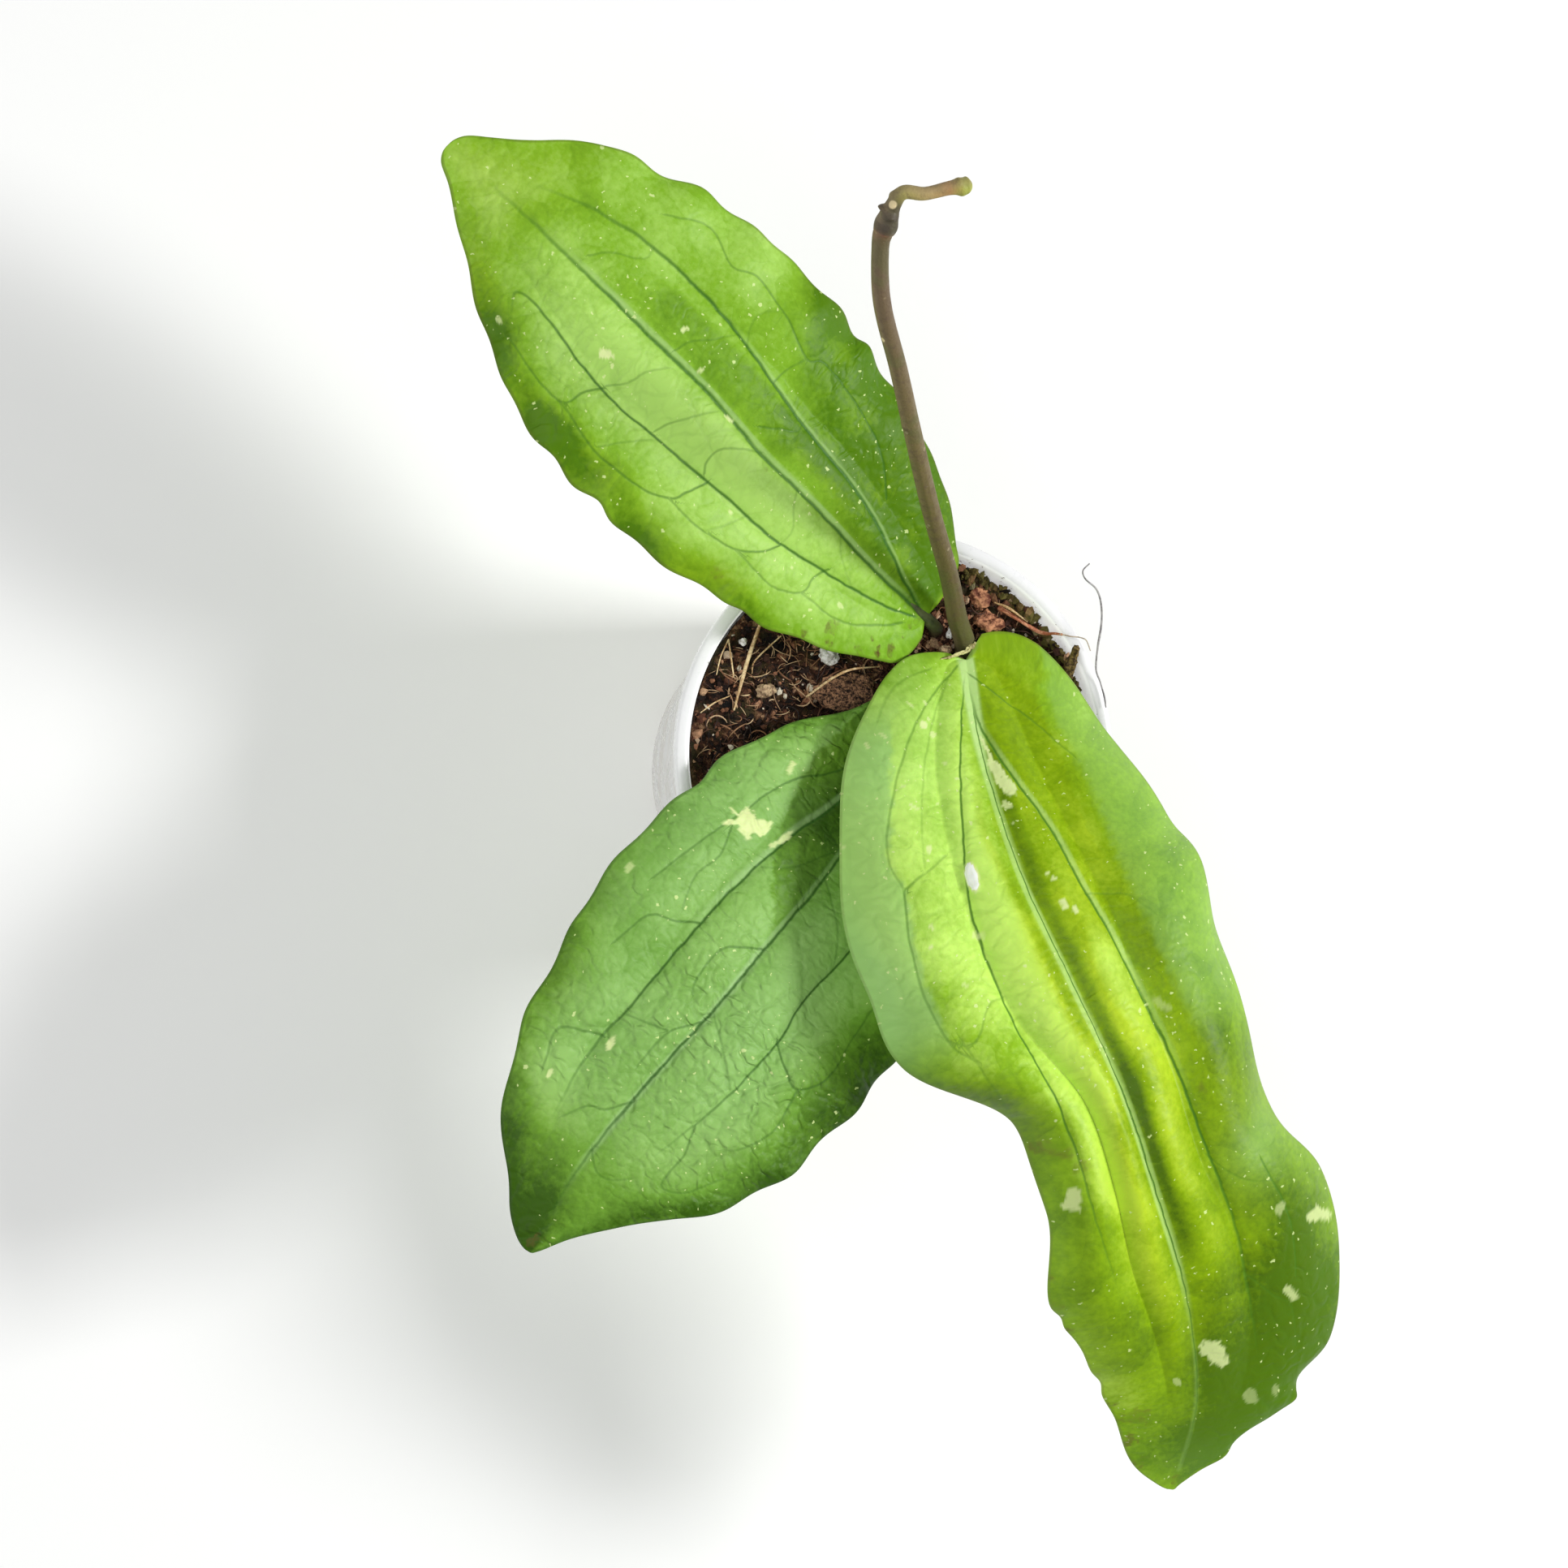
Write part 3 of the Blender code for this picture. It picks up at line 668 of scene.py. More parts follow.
def rough_lump(name, room, seed, dent, sides):
    """A closed lump that fills its room, a node's box or (centre, half size): a sphere dented by noise.

    The dents are three sizes of lumps, the largest almost the sphere's half, that move the skin in and out.
    """
    if isinstance(room, str):
        low, high = (np.array(corner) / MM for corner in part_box(room))
    else:
        low, high = np.subtract(*room), np.add(*room)
    rows = sides // 2
    down = np.linspace(0, math.pi, rows + 2)[1:-1, None]
    turn = np.linspace(0, 2 * math.pi, sides, endpoint=False)[None]
    out = np.sin(down)
    unit = np.stack([out * np.cos(turn), out * np.sin(turn), -np.cos(down) + 0 * turn], axis=-1)
    rough = 1 + dent * lumps(unit, 0.8, seed)
    rough += 0.5 * dent * lumps(unit, 0.33, seed + 1)
    rough += 0.25 * dent * lumps(unit, 0.14, seed + 2)
    half = (high - low) / 2
    rings = (low + high) / 2 + unit * rough[..., None] * half
    return skin(name, rings, rings[0].mean(axis=0), rings[-1].mean(axis=0))


def crumbly(name, dark, light, size, roughness=0.9, relief=0.0003):
    """A dull, porous finish between two tones, with pits of about this size in mm that are painted darker as
    shade.
    """
    look = Shader(name)
    where = look.where()
    grain = look.noise(where, 1000 / size, 4, 0.65)
    pores = look.node("ShaderNodeTexVoronoi", in_Vector=where, in_Scale=1300 / size)
    pit = look.range(pores.outputs["Distance"], 0.1, 0.4)
    # Painted shade: the tone is darkened in the pits.
    tone = look.times(look.range(grain, 0.36, 0.64), look.range(pit, 0.0, 1.0, 0.6, 1.0))
    return look.finish(
        Base_Color=look.mix(tone, dark, light),
        Roughness=look.range(grain, 0.3, 0.7, roughness - 0.15, roughness),
        Specular_IOR_Level=0.3,
        Normal=look.bump(look.plus(grain, pit), relief, 0.8),
    )


perlite_look = crumbly("perlite_grain", tint(196, 192, 180), tint(252, 250, 246), 0.8)
bark_look = crumbly("reddish_bark", tint(96, 48, 34), tint(214, 152, 112), 1.1)
scale_look = crumbly("dry_scale_skin", tint(128, 100, 76), tint(206, 178, 140), 0.6)
clump_look = crumbly("fibre_clump", tint(38, 23, 18), tint(188, 140, 106), 0.45, relief=0.0006)
for name, room, seed, dent, sides, finish, slot in (
    ("perlite_grain", "perlite_lump", 21, 0.3, 48, perlite_look, "perlite"),
    ("fibre_clump", "fibre_lump", 25, 0.3, 96, clump_look, "peat"),
    ("tan_crumb", "tan_lump", 29, 0.35, 48, scale_look, "dry_straw"),
    ("bark_chip_front", "bark_chip_a", 33, 0.6, 48, bark_look, "bark_red"),
    ("bark_chip_rear", "bark_chip_b", 38, 0.6, 48, bark_look, "bark_red"),
    ("dry_leaf_scale", "dry_scale", 41, 0.4, 48, scale_look, "dry_straw"),
    ("foot_crumb", ((7.4, 14.7, 52.3), (0.95, 0.75, 0.6)), 45, 0.35, 48, scale_look, "dry_straw"),
    ("foot_grain", ((7.9, 16.9, 52.6), (0.45, 0.75, 0.45)), 49, 0.35, 48, perlite_look, "perlite"),
    ("small_grain", ((-20.6, 15.2, 51.9), (0.6, 0.5, 0.5)), 53, 0.35, 48, perlite_look, "perlite"),
):
    nodes = [room] if isinstance(room, str) else []
    place(name, rough_lump(name, room, seed, dent, sides), finish, slot, *nodes)

# Straws and roots
# Dry split straws, an orange root that climbs over the lip, a bit of moss stick at the rim and a
# grey root hair curled beside it. They are loose, and lie where the peat holds them.


def laid(knots, radius):
    """Knots of (x, y, lift) in mm laid on the peat as a path a little above it."""
    knots = np.array(knots, float)
    height = soil_level + 0.45 + radius + knots[:, 2]
    return np.stack([knots[:, 0], knots[:, 1], height], axis=-1)


def dry_cord(name, knots, radii, steps, sides, flat=0.0, wrinkle=0.12, seed=1, edges=0):
    """A dry straw or root: a cord whose radius follows radii along it, flattened and wrinkled lengthwise.

    A number of edges makes it a broken bit of wood: the round is cut to a polygon with that many edges.
    """
    share = np.linspace(0, 1, steps)
    path = along_route(knots, share * (len(knots) - 1))
    radius = along_route(np.array(radii, float), share * (len(radii) - 1))
    turn = np.linspace(0, 2 * math.pi, sides, endpoint=False)
    tube = np.broadcast_arrays(6 * share[:, None], 1.5 * np.cos(turn), 1.5 * np.sin(turn))
    folds = lumps(np.stack(tube, axis=-1), 0.5, seed)
    shape = radius[:, None] * (1 + wrinkle * folds) * (1 - flat * np.sin(turn) ** 2)
    if edges:
        slice_angle = 2 * math.pi / edges
        within = (turn + 0.7 * share[:, None]) % slice_angle - slice_angle / 2
        shape = shape * math.cos(slice_angle / 2) / np.cos(within)
    rings = cord_rings(path, shape, sides)
    return skin(name, rings, path[0], path[-1])


def straw_finish(name, dark, light):
    """Dry stem skin with streaks along its length, shiny along the ridges."""
    look = Shader(name)
    where = look.where()
    patch = look.noise(where, 500, 3)
    streak = look.noise(where, 3500, 2)
    tone = look.plus(look.times(patch, 0.6), look.times(streak, 0.4))
    return look.finish(
        Base_Color=look.mix(look.range(tone, 0.38, 0.62), dark, light),
        Roughness=look.range(streak, 0.3, 0.7, 0.45, 0.7),
        Normal=look.bump(streak, 0.0001, 0.6),
    )


straw_look = straw_finish("dry_straw_skin", tint(168, 128, 78), tint(240, 214, 164))
straws = {
    "straw_thick": ([(-18.6, 17.4, 1.6), (-20.0, 12.7, 0.4), (-21.8, 6.0, 0)], 0.27),
    "straw_thin": ([(-15.4, 16.1, 0.6), (-18.8, 12.8, 0), (-19.3, 10.9, 0)], 0.11),
    "straw_side": ([(-22.2, 8.0, 0), (-24.4, 7.0, 0), (-26.4, 5.6, 0.3)], 0.1),
    "straw_tan": ([(-11.8, 8.0, 0), (-8.9, 10.3, 2.2), (-6.2, 11.6, 2.4), (-1.7, 12.2, 0.8)], 0.17),
    "straw_forked": ([(-22.6, 15.5, 0.5), (-22.2, 13.0, 0.2), (-21.8, 10.4, 0.2)], 0.12),
}
for number, (node, (knots, radius)) in enumerate(straws.items()):
    name = f"{node}_stalk"
    radii = [0.8 * radius, radius, radius, 0.5 * radius]
    mesh = dry_cord(name, laid(knots, radius), radii, 60, 12, 0.3, 0.2, 50 + number)
    place(name, mesh, straw_look, "dry_straw", node)
prong_knots = laid([(-22.6, 15.5, 0.55), (-23.6, 13.2, 0.25), (-24.2, 10.7, 0.2)], 0.15)
prong_mesh = dry_cord("straw_prong", prong_knots, [0.1, 0.1, 0.07], 50, 10, 0.3)
place("straw_prong", prong_mesh, straw_look, "dry_straw")

orange_root = [
    (14.9, 20.6, 52.3),
    (18.4, 18.6, 52.3),
    (20.4, 17.4, 52.6),
    (21.4, 17.0, 53.7),
    (21.9, 16.9, 55.2),
    (22.8, 16.7, 56.0),
]
root_end = [
    (22.4, 16.8, 55.9),
    (24.0, 16.5, 55.9),
    (25.3, 16.4, 55.75),
    (26.3, 16.0, 55.7),
    (26.9, 14.6, 55.7),
]
pale_strand = [(14.2, 21.2, 52.6), (15.9, 20.5, 53.2), (17.6, 19.5, 52.9), (19.0, 18.6, 52.7)]
orange_look = straw_finish("orange_root_skin", tint(176, 100, 68), tint(240, 178, 136))
orange_mesh = dry_cord("climbing_root", orange_root, [0.3, 0.27, 0.22, 0.16], 90, 14, 0.1, 0.25, 61)
place("climbing_root", orange_mesh, orange_look, "root_orange", "root_orange")
strand_mesh = dry_cord("pale_root_strand", pale_strand, [0.12, 0.2, 0.16, 0.08], 50, 12, 0.2, 0.2, 63)
place("pale_root_strand", strand_mesh, straw_look, "root_orange")

rim_stick = [
    (24.0, 9.3, 51.4),
    (24.3, 11.2, 53.2),
    (24.25, 12.8, 55.0),
    (24.3, 13.6, 56.0),
    (24.4, 14.9, 57.3),
]
stick_look = crumbly("mossy_stick", tint(58, 40, 22), tint(134, 112, 62), 0.5)
stick_mesh = dry_cord("mossy_stick", rim_stick, [0.8, 0.98, 0.95, 0.62, 0.55], 60, 40, 0.0, 0.22, 67, 5)
place("mossy_stick", stick_mesh, stick_look, "moss_stick", "rim_stick")

root_hair = [
    (29.1, 6.9, 55.6),
    (28.9, 8.3, 55.6),
    (28.3, 10.3, 55.7),
    (27.5, 12.1, 56.2),
    (27.4, 14.9, 57.2),
    (27.6, 17.5, 58.0),
    (27.6, 19.7, 58.4),
    (27.3, 21.4, 58.6),
    (26.6, 22.8, 58.8),
    (25.1, 24.0, 59.0),
    (24.7, 25.1, 59.1),
    (25.6, 26.1, 59.2),
]
hair_look = straw_finish("grey_root_skin", tint(112, 108, 110), tint(178, 174, 174))
hair_mesh = dry_cord("curled_root_hair", root_hair, [0.1, 0.13, 0.15, 0.13, 0.09], 160, 8, 0.0, 0.2, 71)
place("curled_root_hair", hair_mesh, hair_look, "root_grey", "root_hair")
end_mesh = dry_cord("thin_root_end", root_end, [0.14, 0.1, 0.08, 0.08, 0.06], 60, 8, 0.0, 0.2, 73)
end_look = straw_finish("thin_root_skin", tint(150, 132, 112), tint(206, 190, 166))
place("thin_root_end", end_mesh, end_look, "root_orange")

# The vine
# One bare woody stem that grew out of the peat: a node near its top, and there a bent flower stalk
# with a scar on its elbow and a swollen green end.

vine_radius = 1.45
vine_knots = [
    (11.2, 15.2, 38.0),
    (11.0, 15.0, 45.0),
    (10.4, 15.3, 51.5),
    (7.5, 18.6, 57.5),
    (4.4, 23.6, 64.0),
    (-1.2, 30.5, 75.0),
    (-7.0, 38.3, 87.0),
    (-11.4, 44.8, 96.0),
    (-15.7, 51.4, 104.0),
    (-17.3, 57.1, 109.0),
    (-17.3, 59.3, 111.4),
    (-16.9, 61.3, 113.3),
    (-16.0, 62.5, 114.6),
    (-13.6, 62.4, 115.0),
    (-10.7, 63.1, 115.5),
    (-8.0, 63.6, 115.5),
]
vine_sizes = [1.0, 1.0, 1.0, 0.94, 0.87, 0.82, 0.79, 0.76, 0.74, 0.73, 0.86, 0.64, 0.58, 0.55, 0.56, 0.58]
vine_scars = [(-16.0, 52.0, 105.4, 0.5), (-17.3, 61.0, 114.3, 0.6), (-14.8, 47.6, 100.6, 0.4)]


def make_vine():
    """The stem: a cord through its knots, wrinkled lengthwise, with swellings added at given places.

    Each swelling is a bell curve along the stem; a scar or a bud is a bell that also fades round it.
    A bell is (knot, reach along, height, bearing), and its bearing is None if it runs all round.
    """
    steps = 700
    sides = 48
    last = len(vine_knots) - 1
    spot = np.linspace(0, last, steps)
    path = along_route(vine_knots, spot)
    radius = vine_radius * along_route(np.array(vine_sizes), spot)[:, None]
    turn = np.linspace(0, 2 * math.pi, sides, endpoint=False)[None]
    ring = np.stack(np.broadcast_arrays(0.9 * spot[:, None], np.cos(turn), np.sin(turn)), axis=-1)
    wrinkle = 0.035 * lumps(ring * [1, 3, 3], 0.8, 81) + 0.012 * lumps(ring * [6, 1, 1], 0.9, 82)
    swell = np.zeros((steps, sides))
    bells = [
        (10.0, 0.36, 0.16, None),
        (9.6, 0.07, -0.06, None),
        (10.55, 0.14, 0.4, 2.6),
        (9.95, 0.25, 0.16, 5.6),
        (10.7, 0.09, 0.55, 1.1),
        (11.45, 0.16, 0.22, 0.8),
        (14.55, 0.4, 0.22, None),
        (14.35, 0.13, 0.2, 1.2),
        (14.5, 0.16, 0.22, 3.4),
        (14.42, 0.12, 0.16, 5.3),
        (14.78, 0.1, 0.16, 0.2),
        (14.8, 0.1, 0.14, 2.3),
        (6.2, 0.05, 0.14, 2.0),
    ]
    for centre, reach, height, bearing in bells:
        bell = height * np.exp(-(((spot - centre) / reach) ** 2))[:, None]
        if bearing is not None:
            bell = bell * np.exp(-((1 - np.cos(turn - bearing)) / 0.35))
        swell = swell + bell
    dome = np.sqrt(1 - np.clip((spot - last + 0.3) / 0.3, 0, 0.995)[:, None] ** 2)
    rings = cord_rings(path, radius * (1 + wrinkle + swell) * dome, sides)
    mesh = skin("bare_vine", rings, path[0], path[-1])
    scar = np.zeros((steps, sides))
    for *spot_at, reach in vine_scars:
        scar += np.exp(-((np.linalg.norm(rings - spot_at, axis=-1) / reach) ** 2))
    share = np.append(np.repeat(spot / last, sides), [0.0, 1.0])
    # One side of the stem, picked by its bearing, is marked for a painted highlight.
    lit_side = np.append(np.tile(0.5 + 0.5 * np.cos(turn[0] - 1.0), steps), [0.5, 0.5])
    bud = np.append(((swell > 0.12) & (spot[:, None] < 11)).ravel(), [False, False])
    scar = np.append(scar.ravel(), [0.0, 0.0])
    paint(mesh, "growth", np.stack([share, lit_side, bud, scar], axis=-1))
    return mesh


def vine_finish():
    """Young bark: olive at the foot, brown-purple above, green at the end, and tan on one side as a painted
    highlight.
    """
    look = Shader("vine_finish")
    where = look.where()
    growth = look.node("ShaderNodeAttribute", attribute_name="growth")
    part = look.node("ShaderNodeSeparateColor", in_0=growth.outputs["Color"])
    share = part.outputs[0]
    colour = look.ramp(
        share,
        (0.14, tint(106, 106, 58)),
        (0.2, tint(96, 82, 50)),
        (0.4, tint(118, 102, 62)),
        (0.6, tint(104, 84, 64)),
        (0.65, tint(128, 82, 64)),
        (0.665, tint(72, 64, 50)),
        (0.74, tint(86, 78, 48)),
        (0.8, tint(160, 150, 82)),
        (0.88, tint(178, 154, 100)),
        (0.93, tint(176, 134, 84)),
        (0.97, tint(168, 172, 74)),
    )
    # Painted highlight: the marked side of the stem is painted tan and lighter.
    painted_lit_side = look.range(part.outputs[1], 0.55, 0.95, 0.0, 0.45)
    colour = look.mix(painted_lit_side, colour, tint(148, 128, 96))
    mottle = look.noise(where, 900, 4, 0.6)
    colour = look.mix(look.range(mottle, 0.5, 0.7, 0.0, 0.35), colour, tint(84, 64, 58))
    olive = look.noise(where, 170, 3, 0.6)
    colour = look.mix(look.range(olive, 0.48, 0.62, 0.0, 0.5), colour, tint(94, 96, 50))
    pores = look.node("ShaderNodeTexVoronoi", in_Vector=where, in_Scale=420.0)
    spots = look.range(pores.outputs["Distance"], 0.16, 0.1)
    colour = look.mix(look.times(spots, 0.5), colour, tint(176, 160, 128))
    colour = look.mix(look.times(part.outputs[2], 0.45), colour, tint(70, 58, 46))
    colour = look.mix(look.range(growth.outputs["Alpha"], 0.3, 0.6), colour, tint(228, 208, 160))
    fine = look.noise(where, 3000, 3, 0.6)
    relief = look.plus(fine, look.times(spots, 0.8))
    return look.finish(
        Base_Color=colour,
        Roughness=look.range(mottle, 0.3, 0.7, 0.5, 0.72),
        Normal=look.bump(relief, 0.00015, 0.7),
    )


place("bare_vine", make_vine(), vine_finish(), "vine_bark", "stem")

# The upper leaf
# A thick waxy blade on a short stalk out of the peat, bright green, pointing away to the left.
# It is one closed skin about a millimetre thick: an upper face with sunken veins, a rounded edge,
# and a plainer underside with a keel under the midrib.

upper_leaf = {
    "seed": 3,
    "spine": [
        (3.5, 18.5, 56), (-5, 25, 60.5), (-13, 31.5, 64.5), (-21.5, 38, 67.5), (-29.5, 45.5, 70),
        (-37.5, 52.5, 71.5), (-46, 60, 73), (-54.5, 67.5, 73), (-63.5, 75, 72),
    ],
    "left": [0, 6, 8.5, 11, 14, 16.5, 17.5, 19.5, 20, 20, 18.5, 15, 11, 6.8, 3.6, 1.8, 0],
    "right": [0, 7.5, 10.5, 13.5, 16, 18, 20, 21, 21, 20.5, 19, 16, 13.5, 8, 4.6, 2.4, 0],
    "shoulder": (2.0, 0.5),
    "side_vein": 0.42,
    "pleat": 0.7,
    "bulge": 1.2,
    "droop": 2.0,
    "ripple": (0.7, 8.5),
    "scallop": (0.3, 11.0),
    "nicks": [],
    "swell": 0.1,
    "quilt": (0.02, 3.2),
    "bare_base": 0.02,
    "areas": [],
    "midrib": (0.2, [(0, 0), (0.15, 0.03), (0.34, 0.01), (0.5, 0), (0.66, 0.01), (0.8, 0.02),
        (0.93, 0.02)]),
    "right_vein": (0.16, [(0.01, -0.02), (0.07, -0.12), (0.12, -0.2), (0.18, -0.26), (0.3, -0.3),
        (0.46, -0.36), (0.56, -0.42), (0.69, -0.45), (0.8, -0.42), (0.88, -0.31)]),
    "left_vein": (0.16, [(0.01, 0.1), (0.07, 0.28), (0.18, 0.36), (0.28, 0.42), (0.38, 0.39),
        (0.51, 0.45), (0.63, 0.48), (0.76, 0.49), (0.8, 0.6), (0.78, 0.75)]),
    "midrib_depth": 0.2,
    "side_veins": [
        (0.8, [(0.62, 0.46), (0.64, 0.6), (0.65, 0.74), (0.71, 0.8), (0.76, 0.84)]),
        (0.9, [(0.41, 0.41), (0.42, 0.55), (0.43, 0.66), (0.48, 0.76), (0.57, 0.79), (0.65, 0.75)]),
        (0.85, [(0.27, 0.43), (0.29, 0.56), (0.32, 0.66), (0.38, 0.68), (0.43, 0.67)]),
        (0.75, [(0.18, 0.33), (0.19, 0.46), (0.19, 0.62), (0.24, 0.72), (0.32, 0.67)]),
        (0.7, [(0.03, 0.35), (0.07, 0.58), (0.12, 0.69), (0.19, 0.63)]),
        (0.8, [(0.18, -0.45), (0.23, -0.6), (0.3, -0.68), (0.4, -0.69), (0.43, -0.61), (0.5, -0.7),
            (0.56, -0.74), (0.6, -0.68), (0.66, -0.8), (0.72, -0.68)]),
        (0.6, [(0.44, -0.36), (0.44, -0.48), (0.43, -0.61)]),
        (0.5, [(0.62, 0.44), (0.6, 0.33), (0.59, 0.2), (0.57, 0.08)]),
        (0.55, [(0.52, 0.42), (0.51, 0.32), (0.49, 0.18), (0.47, 0.04)]),
        (0.65, [(0.42, 0.38), (0.43, 0.32), (0.43, 0.22), (0.41, 0.1), (0.38, 0)]),
        (0.5, [(0.58, -0.04), (0.57, -0.15), (0.55, -0.24), (0.53, -0.36)]),
        (0.6, [(0.41, -0.1), (0.38, -0.2), (0.36, -0.25), (0.36, -0.33)]),
        (0.45, [(0.76, -0.1), (0.74, -0.22), (0.7, -0.34), (0.7, -0.44)]),
        (0.4, [(0.57, 0.75), (0.54, 0.6), (0.51, 0.46)]),
        (0.35, [(0.3, 0.02), (0.29, 0.15), (0.27, 0.28), (0.27, 0.41)]),
        (0.3, [(0.2, 0.02), (0.18, 0.15), (0.15, 0.26), (0.13, 0.33)]),
        (0.3, [(0.34, 0.41), (0.35, 0.5), (0.36, 0.6), (0.37, 0.67)]),
        (0.3, [(0.5, -0.37), (0.52, -0.5), (0.52, -0.6), (0.5, -0.7)]),
    ],
    "tones": [
        (0.62, 0.2, 0.26, 0.35, 0.42), (0.3, 0.4, 0.25, 0.4, 0.3), (0.32, -0.5, 0.12, 0.16, -0.25),
        (0.16, -0.75, 0.15, 0.3, -0.5), (0.02, -0.4, 0.06, 0.3, -0.55), (0.79, 0.95, 0.06, 0.2, -0.7),
        (0.6, 0.95, 0.09, 0.14, -0.7), (0.42, 0.97, 0.05, 0.12, -0.5), (0.25, 0.97, 0.05, 0.1, -0.5),
        (0.43, -0.95, 0.07, 0.25, -0.9), (0.72, -0.6, 0.16, 0.3, 0.15), (0.42, 0.75, 0.06, 0.12, 0.2),
        (0.57, -0.85, 0.06, 0.2, 0.2), (0.12, -0.98, 0.08, 0.08, -0.2), (0.4, -0.62, 0.08, 0.08, -0.15),
        (0.3, -0.85, 0.1, 0.2, -0.3), (0.93, 0.0, 0.07, 0.7, 0.2), (0.33, -0.2, 0.1, 0.12, -0.15),
        (0.46, 0.28, 0.1, 0.2, 0.12), (0.85, 0.1, 0.03, 0.35, -0.18), (0.8, -0.35, 0.05, 0.2, -0.15),
    ],
    "shades": [(0, -6.6, -0.9, 0.8, 0.1, 0.68, -0.34), (1, -4.5, 2.0, 1.6, 0.02, 0.4, -0.14)],
    "glows": [(0, -0.8, -0.2, 0.16, 0.06, 0.75, 0.6), (1, -0.6, -0.15, 0.14, 0.05, 0.5, 0.45)],
    "sheen_patches": [(0.55, 0.3, 0.25, 0.3, 0.12)],
    "ripe": [
        (0.95, 0.0, 0.12, 1.0, 0.6), (0.14, -0.7, 0.18, 0.5, 1.0), (0.8, 0.95, 0.08, 0.2, 0.9),
        (0.3, -0.2, 0.12, 0.14, 0.5), (0.6, 0.95, 0.1, 0.14, 0.9), (0.35, 0.97, 0.12, 0.16, 0.8),
        (0.43, -0.95, 0.07, 0.2, 0.9),
    ],
    "creams": [
        (0.65, 0.31, 0.95, 0.65, 0.3, 1.0), (0.59, -0.17, 0.55, 0.3, 1.2, 0.9),
        (0.53, -0.07, 0.6, 0.22, 1.3, 0.7), (0.45, 0.01, 0.85, 0.35, 0.2, 0.9),
        (0.79, 0.85, 0.5, 0.35, 0.0, 0.6), (0.36, 0.45, 0.4, 0.3, 0.0, 0.8),
        (0.13, 0.54, 0.5, 0.3, 0.0, 0.6), (0.23, 0.5, 0.35, 0.3, 0.0, 0.6),
    ],
    "browns": [
        (0.36, 0.07, 0.35, 0.9), (0.12, 0.8, 1.1, 0.7), (0.03, 0.79, 0.9, 0.8), (0.32, 0.86, 0.8, 0.6),
        (0.07, 0.91, 0.6, 0.9), (0.046, 0.9, 0.6, 1.0), (0.019, 0.58, 0.4, 0.9),
        (0.019, 0.34, 0.5, 0.9), (0.114, 0.93, 0.5, 0.9), (0.09, 0.7, 0.3, 0.9), (0.15, 0.94, 0.5, 0.8),
        (0.06, 0.75, 0.3, 0.9), (0.01, 0.2, 0.4, 0.9),
    ],
}
blade_thickness = 0.95
blade_rows = 440
top_columns = 164
under_columns = 36
flat_scale = 100


def ease(value, low, high):
    """A smooth step from 0 at low to 1 at high."""
    part = np.clip((value - low) / (high - low), 0, 1)
    return part * part * (3 - 2 * part)


def half_width(leaf, along, across):
    """Half width in mm of the blade's side, read from its 17 widths, which crowd towards both ends."""
    turn = np.arccos(np.clip(1 - 2 * np.asarray(along, float), -1, 1)) / math.pi
    left = along_route(np.array(leaf["left"], float), turn * 16)
    right = along_route(np.array(leaf["right"], float), turn * 16)
    width = np.maximum(np.where(across >= 0, left, right), 0)
    for nick_along, hand, reach, depth in leaf["nicks"]:
        dent = depth * np.exp(-(((along - nick_along) / reach) ** 2)) * np.abs(across) ** 6
        width = width - np.where(np.sign(across) == hand, dent, 0)
    return width


def blade_point(leaf, along, across):
    """The upper face in mm for arrays of along (0 at the stalk, 1 at the tip) and across (-1 right, 1 left).

    The midrib is a smooth curve. The margin lies beside it by the half width of its side, swept back
    round the stalk as a shoulder. The height above the midrib is a pleat up to the side vein, a bulge
    outside it, a droop towards the margin, and a ripple along it. The pleats open out before the tip.
    """
    spine = np.array(leaf["spine"], float)
    last = len(spine) - 1
    centre = along_route(spine, along * last)
    ahead = along_route(spine, np.minimum(along + 0.02, 1) * last)
    forward = ahead - along_route(spine, np.maximum(along - 0.02, 0) * last)
    forward /= np.linalg.norm(forward, axis=-1, keepdims=True)
    side = np.stack([-forward[..., 1], forward[..., 0], np.zeros_like(along)], axis=-1)
    side /= np.linalg.norm(side, axis=-1, keepdims=True)
    out = np.abs(across)
    left = across >= 0
    body = np.sqrt(np.maximum(np.sin(math.pi * along), 0))
    depth, count = leaf["scallop"]
    scallop = depth * np.sin(2 * math.pi * count * along + np.where(left, 0.7, 2.6)) * body * out**4
    width = half_width(leaf, along, across) + scallop
    turn = np.arccos(np.clip(1 - 2 * along, -1, 1)) / math.pi
    sweep = np.where(left, *leaf["shoulder"]) * np.sin(math.pi * np.sqrt(np.minimum(turn / 0.3, 1))) * out**2
    vein = leaf["side_vein"]
    inner = leaf["pleat"] * np.sin(math.pi * np.minimum(out / vein, 1))
    outer = leaf["bulge"] * np.sin(math.pi * np.clip((out - vein) / (1 - vein), 0, 1))
    depth, count = leaf["ripple"]
    ripple = depth * np.sin(2 * math.pi * count * along + np.where(left, 0.0, 1.9)) * out**3
    pleats = np.where(out < vein, inner, outer) * (1 - ease(along, 0.7, 0.93))
    rise = pleats - leaf["droop"] * out**2 * body + ripple
    point = centre + side * (width * across)[..., None] - forward * sweep[..., None]
    point[..., 2] += rise * body
    return point, width * across


